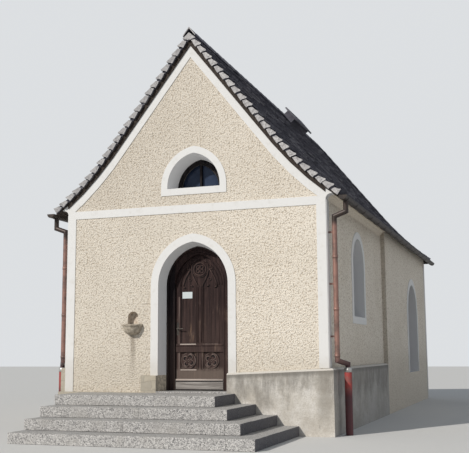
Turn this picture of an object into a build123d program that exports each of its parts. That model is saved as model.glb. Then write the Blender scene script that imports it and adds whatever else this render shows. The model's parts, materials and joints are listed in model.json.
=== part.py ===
from build123d import *
import math
import os

os.makedirs("parts", exist_ok=True)

# A small alpine chapel. Millimetres, +Z up. The origin is on the ground at the middle of the
# facade, which faces -Y. X runs across the chapel, Y runs back along the nave and the choir.

# Plan of the walls
half_width = 2400           # centre line to the outer face of a nave wall
nave_length = 5080          # facade to the end of the nave walls
total_length = 11700        # facade to the outer face of the rear wall
wall = 550                  # thickness of the front, nave and rear walls
choir_step = 90             # the choir walls stand this much further out than the nave walls
plinth_out = 90             # projection of the plinth

# Levels above the foot of the lowest step
riser = 165
door_floor = 680            # top of the threshold and of the floor inside
plinth_corner_top = 1070    # the plinth's top line falls from the corner
plinth_door_top = 990       # to the door
plinth_weathering = 30      # bevel along the plinth's top edge
base_stone_top = 945        # rubble base under the left foot of the door surround
base_stone_width = 282
string_level = 3734         # underside of the white string band
floor_thickness = 150

# Roof, a steep slope with a bell-cast towards the eaves and a hip over the rear wall
eave_level = 3958           # top of the slates at the eave
eave_out = 280              # nave wall face to the edge of the slates, level
rear_eave_out = 190         # rear wall face to the edge of the slates
rear_steepening = 390       # the rear slope is this much shorter in plan than the side ones
knee = 1500                 # from here outwards the slope eases
steep = 1.28                # rise over run at the ridge
shallow = 0.68              # rise over run at the eave
bell_steps = 4              # sprocket boards that make the curve
slate_thickness = 85
deck_thickness = 45
slate_lip = 40              # the slates pass the deck by this much at the eaves
verge_out = 85              # the slates pass the facade by this much
verge_lip = 50              # and the deck ends this much behind them
verge_board_width = 48      # boards on the facade close the gap under the deck
verge_board_depth = 30
ridge_cap_wing = 60
ridge_cap_thickness = 22

# Ventilation hatch near the ridge, on the right-hand slope
hatch_front = 5600
hatch_length = 1400
hatch_top = 20              # level distance of the lid's upper edge from the ridge
hatch_run = 260
hatch_lift = 140            # height of the lid over the slates, square to the slope
hatch_lid = 36
hatch_lid_lip = 70

# White bands and surrounds of smooth plaster
band_depth = 12
corner_band = 160
string_height = 140
gable_band = 130
surround = 132
door_surround_width = 140
lunette_surround_width = 120
cove_out = 112
cove_height = 224
cove_tip = 10

# Front door, its leaf hung on the right-hand jamb and opening inwards
door_centre = 42            # the door stands a little right of the facade's middle
door_half = 642             # half the opening at the facade
door_half_inner = 580       # half the opening where the splayed reveal meets the frame
door_spring = 2488          # level where the arch springs
arch_point = 100            # the arch centres lie this far past the middle, for a slight point
door_reveal = 280           # facade to the frame
embrasure_half = 780
embrasure_head = 3310
frame_half = 640
frame_depth = 100
leaf_half = 445
leaf_thickness = 50
leaf_gap = 8
leaf_floor_gap = 10
leaf_set_back = 5           # inner face of the leaf to the inner face of the frame
stile = 74                  # width of the leaf's outer stiles
muntin = 112                # width of its middle stile
panel_sink = 16
low_panel_foot = 1045
low_panel_head = 1338
weather_board_height = 190
weather_board_depth = 30
rail_mould_level = 1435     # foot of the moulding along the top of the middle rail
rail_mould_height = 45
rail_mould_depth = 22
handle_level = 1740
handle_plate_width = 40
handle_plate_height = 220
handle_plate = 4
handle_rod = 9              # radius of the lever and its spindle
handle_reach = 55
handle_length = 120
knuckle_radius = 11
pintle_radius = 6
knuckle_height = 70
block_sides = 8             # sides of the block that carries a pintle
hinge_plate = 90            # width of the plate on the frame
hinge_strap = 200           # length of the strap on the leaf
hinge_strap_depth = 8
running_gap = 0.3
hinge_lowest = 960
hinge_highest = 2410

# Lunette over the string band
lunette_centre = 55
lunette_half = 490
lunette_half_inner = 440
lunette_sill = 4173
lunette_spring = 4207
lunette_reveal = 350

# Side windows and the side door in the choir
window_half = 500
window_sill = 1970
window_spring = 2950
side_reveal = 260
side_door_half = 780
side_door_from_rear = 2700  # rear wall face to the middle of the side door
side_door_sill = 800
side_door_spring = 2230
side_door_surround = 160
sash = 65                   # width of window frame members
sash_depth = 60
sash_gap = 2                # between a frame and its opening
pane = 8
side_leaf_thickness = 55

# Granite steps, which widen downwards on the right and end in line on the left
step_count = 4
tread_front = 440
tread_side = 360
landing_right = 830
landing_left = 1990
landing_depth = 1030        # facade to the front of the landing
nosing = 8

# Holy water stoup beside the door
stoup_from_surround = 340   # door surround to the middle of the bowl
stoup_rim = 1825
stoup_radius = 190
stoup_rim_band = 75         # upright part of the bowl's side
stoup_sides = 18            # flat sides round a whole bowl
stoup_wall = 28
niche_half = 100
niche_rise = 120
niche_depth = 110

# Rainwater goods
gutter_radius = 70
gutter_sheet = 5
gutter_drop = 8             # gutter rim below the underside of the slates' edge
gutter_front = 120          # the gutter passes the facade by this much
pipe_radius = 42
outlet_drop = 170           # straight length under the gutter
foot_drop = 110             # straight length over the standpipe
pipe_y = 100
pipe_off_wall = 114         # nave wall face to the pipe's centre
swan_drop = 242             # gutter's underside to the pipe's elbow at the wall
pipe_foot = 1190
standpipe_radius = 60
standpipe_off_plinth = 150  # plinth face to the standpipe's centre
standpipe_y = 300
standpipe_top = 1020
bracket_lowest = 1560
bracket_spacing = 850
bracket_count = 3
bracket_height = 30
bracket_width = 24

# Worked out from the sizes above
inner_half = half_width - wall
choir_half = half_width + choir_step
rear_inner = total_length - wall
rear_eave = total_length + rear_eave_out
main_run = half_width + eave_out
rear_run = main_run - rear_steepening
ridge_end = rear_eave - rear_run
eave_width = main_run - knee
ridge_level = eave_level + steep * knee + (steep + shallow) / 2 * eave_width
roof_depth = slate_thickness + deck_thickness
landing_level = step_count * riser
window_centre = nave_length / 2
choir_window_centre = (nave_length + rear_inner) / 2
side_door_centre = total_length - side_door_from_rear
stoup_centre = door_centre - door_half - door_surround_width - stoup_from_surround
standpipe_x = half_width + plinth_out + standpipe_off_plinth
hinge_levels = [hinge_lowest, hinge_highest]
bracket_levels = [bracket_lowest + i * bracket_spacing for i in range(bracket_count)]


def save(piece, name):
    piece.part.label = name
    export_step(piece.part, f"parts/{name}.step")


def slope_at(x):
    """Rise over run of the roof, x from the ridge."""
    if x <= knee:
        return steep
    return steep - (steep - shallow) * (x - knee) / eave_width


def height_at(x):
    """Level of the top of the slates, x from the ridge."""
    if x <= knee:
        return ridge_level - steep * x
    past = x - knee
    return ridge_level - steep * x + (steep - shallow) * past**2 / (2 * eave_width)


def roof_line(depth, run=main_run, lip=0):
    """Points from ridge to eave of a surface that lies depth below the slates.

    A lip ends the surface that much short of the slates' edge.
    """
    stations = [0] + [knee + eave_width * i / bell_steps for i in range(bell_steps + 1)]
    levels = [height_at(x) - depth * math.hypot(1, slope_at(x)) for x in stations]
    board = eave_width / bell_steps
    levels[-1] += (levels[-2] - levels[-1]) * lip / board
    stations[-1] -= lip
    return [(x * run / main_run, z) for x, z in zip(stations, levels)]


def arch_face(plane, centre, half, bottom, spring, point=0):
    """An arched outline on the given plane.

    The head is half round, or pointed where its two arc centres lie past the middle by point.
    """
    radius = half + point
    top = spring + math.sqrt(radius**2 - point**2)
    turn = math.acos(point / radius) / 2
    shoulder = (radius * math.cos(turn) - point, spring + radius * math.sin(turn))
    with BuildSketch(plane) as outline:
        with BuildLine():
            Polyline(
                (centre + half, spring),
                (centre + half, bottom),
                (centre - half, bottom),
                (centre - half, spring),
            )
            ThreePointArc(
                (centre - half, spring),
                (centre - shoulder[0], shoulder[1]),
                (centre, top),
            )
            ThreePointArc(
                (centre, top),
                (centre + shoulder[0], shoulder[1]),
                (centre + half, spring),
            )
        make_face()
    return outline.sketch


def door_arch(plane, half, bottom):
    """The outline of the front doorway, at any half width."""
    return arch_face(plane, door_centre, half, bottom, door_spring, arch_point)


def lunette_arch(plane, half, bottom=lunette_sill):
    """The outline of the lunette, at any half width."""
    return arch_face(plane, lunette_centre, half, bottom, lunette_spring, arch_point)


def facade(depth):
    """The plane parallel to the facade at a depth behind it."""
    return Plane.XZ.offset(-depth)


# Space under the roof, which trims the tops of the walls
with BuildPart() as attic:
    under = roof_line(roof_depth)
    with BuildSketch(facade(-verge_out)):
        Polygon(
            *under,
            (main_run, 0),
            (-main_run, 0),
            *[(-x, z) for x, z in reversed(under)],
            align=None,
        )
    extrude(amount=-(verge_out + rear_eave))
    rear_under = roof_line(roof_depth, rear_run)
    with BuildSketch(Plane.YZ.offset(-main_run)):
        Polygon(
            *[(ridge_end + y, z) for y, z in rear_under],
            (rear_eave, 0),
            (-verge_out, 0),
            (-verge_out, rear_under[0][1]),
            align=None,
        )
    extrude(amount=2 * main_run, mode=Mode.INTERSECT)

# Doorway with splayed reveal outside and a square embrasure inside
with BuildPart() as doorway:
    loft(
        sections=[
            door_arch(facade(0), door_half, door_floor),
            door_arch(facade(door_reveal), door_half_inner, door_floor),
        ],
        ruled=True,
    )
    with BuildSketch(facade(door_reveal)):
        with Locations((door_centre, door_floor)):
            Rectangle(
                2 * embrasure_half,
                embrasure_head - door_floor,
                align=(Align.CENTER, Align.MIN),
            )
    extrude(amount=-(wall - door_reveal))

# Front walls beside and over the door, and the gable
with BuildPart() as front_wall_left:
    with BuildSketch(facade(0)):
        with Locations((-half_width, 0)):
            Rectangle(
                half_width + door_centre - door_half_inner,
                door_spring,
                align=Align.MIN,
            )
    extrude(amount=-wall)
    add(doorway.part, mode=Mode.SUBTRACT)
    niche_spring = stoup_rim + niche_rise
    niche = arch_face(facade(0), stoup_centre, niche_half, stoup_rim, niche_spring)
    extrude(niche, amount=-niche_depth, mode=Mode.SUBTRACT)
save(front_wall_left, "front_wall_left")

with BuildPart() as front_wall_right:
    with BuildSketch(facade(0)):
        with Locations((half_width, 0)):
            Rectangle(
                half_width - door_centre - door_half_inner,
                door_spring,
                align=(Align.MAX, Align.MIN),
            )
    extrude(amount=-wall)
    add(doorway.part, mode=Mode.SUBTRACT)
save(front_wall_right, "front_wall_right")

with BuildPart() as front_wall_over_door:
    with BuildSketch(facade(0)):
        with Locations((0, door_spring)):
            Rectangle(
                2 * half_width,
                string_level - door_spring,
                align=(Align.CENTER, Align.MIN),
            )
    extrude(amount=-wall)
    add(doorway.part, mode=Mode.SUBTRACT)
save(front_wall_over_door, "front_wall_over_door")

with BuildPart() as front_gable:
    with BuildSketch(facade(0)):
        with Locations((0, string_level)):
            Rectangle(
                2 * half_width,
                ridge_level - string_level,
                align=(Align.CENTER, Align.MIN),
            )
    extrude(amount=-wall)
    add(attic.part, mode=Mode.INTERSECT)
    loft(
        sections=[
            lunette_arch(facade(0), lunette_half),
            lunette_arch(facade(lunette_reveal), lunette_half_inner),
        ],
        ruled=True,
        mode=Mode.SUBTRACT,
    )
    extrude(
        lunette_arch(facade(lunette_reveal), lunette_half),
        amount=-(wall - lunette_reveal),
        mode=Mode.SUBTRACT,
    )
save(front_gable, "front_gable")


def side_wall(outer, start, end, openings):
    """A wall along Y on the right-hand side, with round-headed openings through it."""
    with BuildPart() as piece:
        with BuildSketch(Plane.XY):
            with Locations((inner_half, start)):
                Rectangle(outer - inner_half, end - start, align=Align.MIN)
        extrude(amount=ridge_level)
        add(attic.part, mode=Mode.INTERSECT)
        for centre, half, bottom, spring in openings:
            cut = arch_face(Plane.YZ.offset(inner_half), centre, half, bottom, spring)
            extrude(cut, amount=outer - inner_half, mode=Mode.SUBTRACT)
    return piece


def save_mirrored(piece, name):
    """Save the same piece on the left-hand side."""
    with BuildPart() as mirrored:
        mirror(piece.part, about=Plane.YZ)
    save(mirrored, name)


nave_window = (window_centre, window_half, window_sill, window_spring)
choir_window = (choir_window_centre, window_half, window_sill, window_spring)
side_doorway = (side_door_centre, side_door_half, side_door_sill, side_door_spring)

nave_wall = side_wall(half_width, wall, nave_length, [nave_window])
save(nave_wall, "nave_wall_right")
save_mirrored(nave_wall, "nave_wall_left")
save(side_wall(choir_half, nave_length, rear_inner, [side_doorway]), "choir_wall_right")
save_mirrored(
    side_wall(choir_half, nave_length, rear_inner, [choir_window]),
    "choir_wall_left",
)

with BuildPart() as rear_wall:
    with BuildSketch(facade(rear_inner)):
        Rectangle(2 * choir_half, ridge_level, align=(Align.CENTER, Align.MIN))
    extrude(amount=-wall)
    add(attic.part, mode=Mode.INTERSECT)
save(rear_wall, "rear_wall")

with BuildPart() as floor_slab:
    with BuildSketch(Plane.XY.offset(door_floor - floor_thickness)):
        with Locations((0, wall)):
            Rectangle(2 * inner_half, rear_inner - wall, align=(Align.CENTER, Align.MIN))
    extrude(amount=floor_thickness)
save(floor_slab, "floor_slab")

# Threshold block, which fills the wall under the doorway and comes out flush with the plinth
with BuildPart() as threshold:
    with BuildSketch(Plane.XY):
        with Locations((door_centre, 0)):
            Rectangle(2 * door_half_inner, wall, align=(Align.CENTER, Align.MIN))
            Rectangle(2 * door_half, plinth_out, align=(Align.CENTER, Align.MAX))
    extrude(amount=door_floor)
save(threshold, "threshold")

# Plinth, with a top that falls towards the door
with BuildSketch(Plane.XY) as plinth_elevation:
    Polygon(
        (door_centre + door_half, 0),
        (half_width + plinth_out, 0),
        (half_width + plinth_out, plinth_corner_top),
        (door_centre + door_half, plinth_door_top),
        align=None,
    )

with BuildPart() as plinth_front_right:
    with BuildSketch(facade(0)):
        add(plinth_elevation.sketch)
    extrude(amount=plinth_out)
    front_edge = plinth_front_right.faces().sort_by(Axis.Y)[0].edges().sort_by(Axis.Z)[-1]
    corner_edge = plinth_front_right.faces().sort_by(Axis.X)[-1].edges().sort_by(Axis.Z)[-1]
    chamfer([front_edge, corner_edge], plinth_weathering)
save(plinth_front_right, "plinth_front_right")

with BuildPart() as plinth_front_left:
    with BuildSketch(facade(0)):
        with Locations((door_centre - door_half, 0)):
            Rectangle(base_stone_width, base_stone_top, align=(Align.MAX, Align.MIN))
        with Locations((-half_width - plinth_out, 0)):
            Rectangle(
                half_width + plinth_out + door_centre - door_half,
                landing_level,
                align=Align.MIN,
            )
    extrude(amount=plinth_out)
save(plinth_front_left, "plinth_front_left")

with BuildPart() as plinth_right:
    with BuildSketch(Plane.XY):
        with Locations((half_width, 0)):
            Rectangle(plinth_out, nave_length, align=Align.MIN)
    extrude(amount=plinth_corner_top)
    outer_face = plinth_right.faces().sort_by(Axis.X)[-1]
    chamfer(outer_face.edges().sort_by(Axis.Z)[-1], plinth_weathering)
save(plinth_right, "plinth_right")
save_mirrored(plinth_right, "plinth_left")

# Concave white cove under the eaves of the nave
with BuildPart() as cove:
    cove_bottom = height_at(half_width) - cove_height - roof_depth
    tip_x = half_width + cove_out
    tip_z = height_at(tip_x) - roof_depth * math.hypot(1, slope_at(tip_x)) - cove_tip
    with BuildSketch(facade(-band_depth)):
        with BuildLine():
            TangentArc((half_width, cove_bottom), (tip_x, tip_z), tangent=(0, 1))
            Polyline(
                (tip_x, tip_z),
                (tip_x, ridge_level),
                (half_width, ridge_level),
                (half_width, cove_bottom),
            )
        make_face()
    extrude(amount=-(band_depth + nave_length))
    add(attic.part, mode=Mode.INTERSECT)
save(cove, "eaves_cove_right")
save_mirrored(cove, "eaves_cove_left")

# White bands of the facade, in one plane
with BuildPart() as facade_bands:
    with BuildSketch(facade(0)):
        with Locations((0, string_level)):
            Rectangle(2 * half_width, string_height, align=(Align.CENTER, Align.MIN))
        outer_line = roof_line(roof_depth + verge_board_width)
        inner_line = roof_line(roof_depth + verge_board_width + gable_band)
        Polygon(*outer_line, *reversed(inner_line), align=None)
        Polygon(
            *[(-x, z) for x, z in outer_line],
            *[(-x, z) for x, z in reversed(inner_line)],
            align=None,
        )
        Rectangle(
            2 * half_width,
            2 * ridge_level,
            mode=Mode.INTERSECT,
        )
        with Locations((half_width, plinth_corner_top)):
            Rectangle(
                corner_band,
                string_level - plinth_corner_top,
                align=(Align.MAX, Align.MIN),
            )
        with Locations((-half_width, landing_level)):
            Rectangle(corner_band, string_level - landing_level, align=Align.MIN)
    extrude(amount=band_depth)
save(facade_bands, "facade_bands")

# Boards under the deck's edge along both slopes of the gable
with BuildPart() as verge_boards:
    with BuildSketch(facade(0)):
        board_top = roof_line(roof_depth)
        board_foot = roof_line(roof_depth + verge_board_width)
        Polygon(*board_top, *reversed(board_foot), align=None)
        Polygon(
            *[(-x, z) for x, z in board_top],
            *[(-x, z) for x, z in reversed(board_foot)],
            align=None,
        )
        Rectangle(2 * half_width, 2 * ridge_level, mode=Mode.INTERSECT)
    extrude(amount=verge_board_depth)
save(verge_boards, "verge_boards")

with BuildPart() as corner_returns:
    for side, foot in ((1, plinth_corner_top), (-1, plinth_corner_top)):
        with BuildSketch(Plane.XY.offset(foot)):
            with Locations((side * (half_width + band_depth / 2), 0)):
                Rectangle(band_depth, corner_band, align=(Align.CENTER, Align.MIN))
        extrude(amount=cove_bottom - foot)
    for side in (1, -1):
        with BuildSketch(Plane.XY):
            with Locations((side * (choir_half + band_depth / 2), total_length)):
                Rectangle(band_depth, corner_band, align=(Align.CENTER, Align.MAX))
        extrude(amount=cove_bottom)
save(corner_returns, "corner_bands")

with BuildPart() as door_surround:
    with BuildSketch(facade(0)):
        add(door_arch(Plane.XY, door_half + door_surround_width, base_stone_top))
        add(door_arch(Plane.XY, door_half, 0), mode=Mode.SUBTRACT)
        add(plinth_elevation.sketch, mode=Mode.SUBTRACT)
    extrude(amount=band_depth)
save(door_surround, "door_surround")

with BuildPart() as lunette_surround:
    with BuildSketch(facade(0)):
        outer_half = lunette_half + lunette_surround_width
        add(lunette_arch(Plane.XY, outer_half, lunette_sill - lunette_surround_width))
        add(lunette_arch(Plane.XY, lunette_half), mode=Mode.SUBTRACT)
    extrude(amount=band_depth)
save(lunette_surround, "lunette_surround")


def side_surround(face_x, opening, width, foot):
    """The white band round one side opening, as a sketch extruded outwards."""
    centre, half, bottom, spring = opening
    with BuildSketch(Plane.YZ.offset(face_x)) as ring:
        add(arch_face(Plane.XY, centre, half + width, bottom - foot, spring))
        add(arch_face(Plane.XY, centre, half, bottom, spring), mode=Mode.SUBTRACT)
    return ring.sketch


with BuildPart() as side_surrounds:
    extrude(side_surround(half_width, nave_window, surround, surround), amount=band_depth)
    mirror(about=Plane.YZ)
    extrude(
        side_surround(choir_half, side_doorway, side_door_surround, 0),
        amount=band_depth,
    )
    extrude(
        side_surround(-choir_half, choir_window, surround, surround),
        amount=-band_depth,
    )
save(side_surrounds, "side_surrounds")


def right_slope(top, bottom, front, lip):
    """A layer of the right-hand slope between two depths, mitred at the hip."""
    with BuildPart() as layer:
        with BuildSketch(facade(-front)):
            Polygon(*roof_line(top, lip=lip), *reversed(roof_line(bottom, lip=lip)), align=None)
        extrude(amount=-(front + rear_eave))
        split(bisect_by=hip_plane, keep=Keep.TOP)
    return layer


def rear_slope(top, bottom, lip):
    """The same layer over the rear wall, mitred at both hips."""
    with BuildPart() as layer:
        upper = roof_line(top, rear_run, lip)
        lower = roof_line(bottom, rear_run, lip)
        with BuildSketch(Plane.YZ.offset(-main_run)):
            Polygon(
                *[(ridge_end + y, z) for y, z in upper],
                *[(ridge_end + y, z) for y, z in reversed(lower)],
                align=None,
            )
        extrude(amount=2 * main_run)
        split(bisect_by=hip_plane, keep=Keep.BOTTOM)
        split(bisect_by=mirrored_hip_plane, keep=Keep.BOTTOM)
    return layer


hip_plane = Plane(origin=(0, ridge_end, 0), x_dir=(0, 0, 1), z_dir=(rear_run, -main_run, 0))
mirrored_hip_plane = Plane(
    origin=(0, ridge_end, 0), x_dir=(0, 0, 1), z_dir=(-rear_run, -main_run, 0)
)

deck_right = right_slope(slate_thickness, roof_depth, verge_out - verge_lip, slate_lip)
save(deck_right, "roof_deck_right")
save_mirrored(deck_right, "roof_deck_left")
save(rear_slope(slate_thickness, roof_depth, slate_lip), "roof_deck_rear")
slates_right = right_slope(0, slate_thickness, verge_out, 0)
save(slates_right, "roof_slates_right")
save_mirrored(slates_right, "roof_slates_left")
save(rear_slope(0, slate_thickness, 0), "roof_slates_rear")

with BuildPart() as ridge_cap:
    wing_drop = steep * ridge_cap_wing
    cap_rise = ridge_cap_thickness * math.hypot(1, steep)
    with BuildSketch(facade(-verge_out)):
        Polygon(
            (0, ridge_level),
            (ridge_cap_wing, ridge_level - wing_drop),
            (ridge_cap_wing, ridge_level - wing_drop + cap_rise),
            (0, ridge_level + cap_rise),
            (-ridge_cap_wing, ridge_level - wing_drop + cap_rise),
            (-ridge_cap_wing, ridge_level - wing_drop),
            align=None,
        )
    extrude(amount=-(verge_out + ridge_end))
save(ridge_cap, "ridge_cap")

# Hatch on the slates: a curb with a lid that laps it all round
with BuildPart() as roof_hatch:
    slope_plane = Plane(
        origin=(hatch_top, hatch_front, height_at(hatch_top)),
        x_dir=(1, 0, -steep),
        z_dir=(steep, 0, 1),
    )
    hatch_slope_length = hatch_run * math.hypot(1, steep)
    with BuildSketch(slope_plane):
        with Locations((hatch_lid_lip, hatch_lid_lip)):
            Rectangle(
                hatch_slope_length - 2 * hatch_lid_lip,
                hatch_length - 2 * hatch_lid_lip,
                align=Align.MIN,
            )
    extrude(amount=hatch_lift)
    with BuildSketch(slope_plane.offset(hatch_lift)):
        Rectangle(hatch_slope_length, hatch_length, align=Align.MIN)
    extrude(amount=hatch_lid)
save(roof_hatch, "roof_hatch")

# Half-round gutters along the eaves of both long sides
with BuildPart() as gutter:
    gutter_x = main_run - slate_lip + gutter_radius
    gutter_rim = height_at(main_run) - slate_thickness * math.hypot(1, shallow) - gutter_drop
    with BuildSketch(facade(-gutter_front)):
        with Locations((gutter_x, gutter_rim)):
            Circle(gutter_radius)
            Circle(gutter_radius - gutter_sheet, mode=Mode.SUBTRACT)
            Rectangle(
                2 * gutter_radius,
                gutter_radius,
                align=(Align.CENTER, Align.MIN),
                mode=Mode.SUBTRACT,
            )
    extrude(amount=-(gutter_front + rear_eave))
save(gutter, "gutter_right")
save_mirrored(gutter, "gutter_left")

# Downpipe: out of the gutter, back to the wall, down beside the corner and over the plinth
pipe_x = half_width + pipe_off_wall
with BuildPart() as downpipe:
    gutter_foot = gutter_rim - gutter_radius
    with BuildLine() as route:
        Polyline(
            (gutter_x, pipe_y, gutter_foot),
            (gutter_x, pipe_y, gutter_foot - outlet_drop),
            (pipe_x, pipe_y, gutter_foot - swan_drop),
            (pipe_x, pipe_y, pipe_foot),
            (standpipe_x, standpipe_y, standpipe_top + foot_drop),
            (standpipe_x, standpipe_y, standpipe_top),
        )
    with BuildSketch(Plane(origin=route.line @ 0, z_dir=route.line % 0)):
        Circle(pipe_radius)
    sweep(path=route.line, transition=Transition.RIGHT)
    for level in bracket_levels:
        with BuildSketch(Plane.XY.offset(level)):
            with Locations((half_width + band_depth, pipe_y)):
                Rectangle(
                    pipe_off_wall - band_depth,
                    bracket_width,
                    align=(Align.MIN, Align.CENTER),
                )
        extrude(amount=bracket_height)
save(downpipe, "downpipe_right")
save_mirrored(downpipe, "downpipe_left")

with BuildPart() as standpipes:
    with BuildSketch(Plane.XY):
        with Locations((standpipe_x, standpipe_y), (-standpipe_x, standpipe_y)):
            Circle(standpipe_radius)
    extrude(amount=standpipe_top)
save(standpipes, "standpipes")

# Front door frame, leaf, hinges and furniture
leaf_back = door_reveal + frame_depth - leaf_set_back
leaf_front = leaf_back - leaf_thickness
leaf_foot = door_floor + leaf_floor_gap
leaf_left = door_centre - leaf_half
hinge_x = door_centre + leaf_half + leaf_gap / 2
hinge_y = door_reveal + frame_depth + knuckle_radius + running_gap
door_clear_half = leaf_half + leaf_gap

with BuildPart() as door_frame:
    with BuildSketch(facade(door_reveal)):
        add(door_arch(Plane.XY, frame_half, door_floor))
        add(door_arch(Plane.XY, door_clear_half, door_floor), mode=Mode.SUBTRACT)
    extrude(amount=-frame_depth)
save(door_frame, "door_frame")

with BuildPart() as door_leaf:
    extrude(door_arch(facade(leaf_back), leaf_half, leaf_foot), amount=leaf_thickness)
    with BuildSketch(facade(leaf_front)):
        with Locations((door_centre, low_panel_foot)):
            Rectangle(
                2 * (leaf_half - stile),
                low_panel_head - low_panel_foot,
                align=(Align.CENTER, Align.MIN),
            )
        tall_panel_foot = rail_mould_level + rail_mould_height
        add(door_arch(Plane.XY, leaf_half - stile, tall_panel_foot))
        with Locations((door_centre, low_panel_foot)):
            Rectangle(
                muntin,
                door_spring - low_panel_foot,
                align=(Align.CENTER, Align.MIN),
                mode=Mode.SUBTRACT,
            )
    extrude(amount=-panel_sink, mode=Mode.SUBTRACT)
save(door_leaf, "door_leaf")

with BuildPart() as weather_board:
    with BuildSketch(Plane.YZ.offset(leaf_left + leaf_gap)):
        with Locations((leaf_front, leaf_foot)):
            Rectangle(
                weather_board_depth,
                weather_board_height,
                align=(Align.MAX, Align.MIN),
            )
    extrude(amount=2 * (leaf_half - leaf_gap))
    top_edge = weather_board.edges().filter_by(Axis.X).group_by(Axis.Z)[-1].sort_by(Axis.Y)[0]
    chamfer(top_edge, weather_board_depth / 2)
save(weather_board, "weather_board")

with BuildPart() as rail_moulding:
    with BuildSketch(Plane.YZ.offset(leaf_left + leaf_gap)):
        with Locations((leaf_front, rail_mould_level)):
            Rectangle(rail_mould_depth, rail_mould_height, align=(Align.MAX, Align.MIN))
    extrude(amount=2 * (leaf_half - leaf_gap))
    mould_edges = rail_moulding.faces().sort_by(Axis.Y)[0].edges().filter_by(Axis.X)
    chamfer(mould_edges.sort_by(Axis.Z)[0], rail_mould_depth / 2)
    fillet(mould_edges.sort_by(Axis.Z)[-1], rail_mould_depth / 2)
save(rail_moulding, "rail_moulding")

with BuildPart() as door_handle:
    handle_x = leaf_left + stile / 2
    with BuildSketch(facade(leaf_front)):
        with Locations((handle_x, handle_level)):
            Rectangle(handle_plate_width, handle_plate_height)
    extrude(amount=handle_plate)
    lever_y = leaf_front - handle_reach + handle_rod
    with BuildLine() as lever:
        Polyline(
            (handle_x, leaf_front, handle_level),
            (handle_x, lever_y, handle_level),
            (handle_x + handle_length, lever_y, handle_level),
        )
    with BuildSketch(Plane(origin=lever.line @ 0, z_dir=lever.line % 0)):
        Circle(handle_rod)
    sweep(path=lever.line, transition=Transition.RIGHT)
save(door_handle, "door_handle")

with BuildPart() as hinge_pintles:
    for level in hinge_levels:
        with BuildSketch(Plane.XY.offset(level)):
            with Locations((hinge_x, hinge_y)):
                Circle(pintle_radius)
        extrude(amount=knuckle_height)
        with BuildSketch(Plane.XY.offset(level - knuckle_height)):
            with Locations((hinge_x, hinge_y)):
                RegularPolygon(knuckle_radius, block_sides)
            with Locations((hinge_x + leaf_gap, door_reveal + frame_depth)):
                Rectangle(hinge_plate, knuckle_radius, align=Align.MIN)
            with Locations((hinge_x, hinge_y)):
                Rectangle(
                    2 * leaf_gap,
                    knuckle_radius,
                    align=(Align.MIN, Align.CENTER),
                )
        extrude(amount=knuckle_height)
save(hinge_pintles, "hinge_pintles")

with BuildPart() as hinge_knuckles:
    for level in hinge_levels:
        with BuildSketch(Plane.XY.offset(level + running_gap)):
            with Locations((hinge_x, hinge_y)):
                Circle(knuckle_radius)
            with Locations((hinge_x, leaf_back)):
                Rectangle(hinge_strap, hinge_strap_depth, align=(Align.MAX, Align.MIN))
            with Locations((hinge_x, leaf_back)):
                Rectangle(
                    knuckle_radius,
                    hinge_y - leaf_back,
                    align=(Align.MAX, Align.MIN),
                )
            with Locations((hinge_x, hinge_y)):
                Circle(pintle_radius + running_gap, mode=Mode.SUBTRACT)
        extrude(amount=knuckle_height - running_gap)
save(hinge_knuckles, "hinge_knuckles")


def inset_arch(plane, inset, centre, half, bottom, spring, point=0):
    """The outline of an opening, drawn in by inset at its sides, head and foot."""
    with BuildSketch(plane) as outline:
        add(arch_face(Plane.XY, centre, half - inset, bottom, spring, point))
        with Locations((centre, bottom + inset)):
            Rectangle(
                2 * half,
                spring + half - bottom,
                align=(Align.CENTER, Align.MIN),
                mode=Mode.INTERSECT,
            )
    return outline.sketch


def sash_ring(plane, centre, half, bottom, spring, point=0):
    """Frame of one arched window, as a sketch."""
    with BuildSketch(plane) as ring:
        add(arch_face(Plane.XY, centre, half - sash_gap, bottom, spring, point))
        add(
            inset_arch(Plane.XY, sash, centre, half, bottom, spring, point),
            mode=Mode.SUBTRACT,
        )
        mullion_height = spring + half - sash - bottom
        with Locations((centre, bottom + sash / 2)):
            Rectangle(sash / 2, mullion_height, align=(Align.CENTER, Align.MIN))
    return ring.sketch


def sash_pane(plane, centre, half, bottom, spring, point=0):
    """The glass behind one frame, lapping half of its members."""
    return inset_arch(plane, sash / 2, centre, half, bottom, spring, point)


lunette = (lunette_centre, lunette_half, lunette_sill, lunette_spring, arch_point)
nave_frame_x = half_width - side_reveal
choir_frame_x = choir_half - side_reveal

with BuildPart() as window_frames:
    extrude(sash_ring(facade(lunette_reveal), *lunette), amount=-sash_depth)
    extrude(sash_ring(Plane.YZ.offset(nave_frame_x), *nave_window), amount=-sash_depth)
    extrude(sash_ring(Plane.YZ.offset(-nave_frame_x), *nave_window), amount=sash_depth)
    extrude(sash_ring(Plane.YZ.offset(-choir_frame_x), *choir_window), amount=sash_depth)
save(window_frames, "window_frames")

with BuildPart() as window_panes:
    nave_pane_x = nave_frame_x - sash_depth
    choir_pane_x = choir_frame_x - sash_depth
    extrude(sash_pane(facade(lunette_reveal + sash_depth), *lunette), amount=-pane)
    extrude(sash_pane(Plane.YZ.offset(nave_pane_x), *nave_window), amount=-pane)
    extrude(sash_pane(Plane.YZ.offset(-nave_pane_x), *nave_window), amount=pane)
    extrude(sash_pane(Plane.YZ.offset(-choir_pane_x), *choir_window), amount=pane)
save(window_panes, "window_panes")

with BuildPart() as side_door:
    extrude(
        arch_face(
            Plane.YZ.offset(choir_frame_x),
            side_door_centre,
            side_door_half - sash_gap,
            side_door_sill,
            side_door_spring,
        ),
        amount=-side_leaf_thickness,
    )
save(side_door, "side_door")

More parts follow.
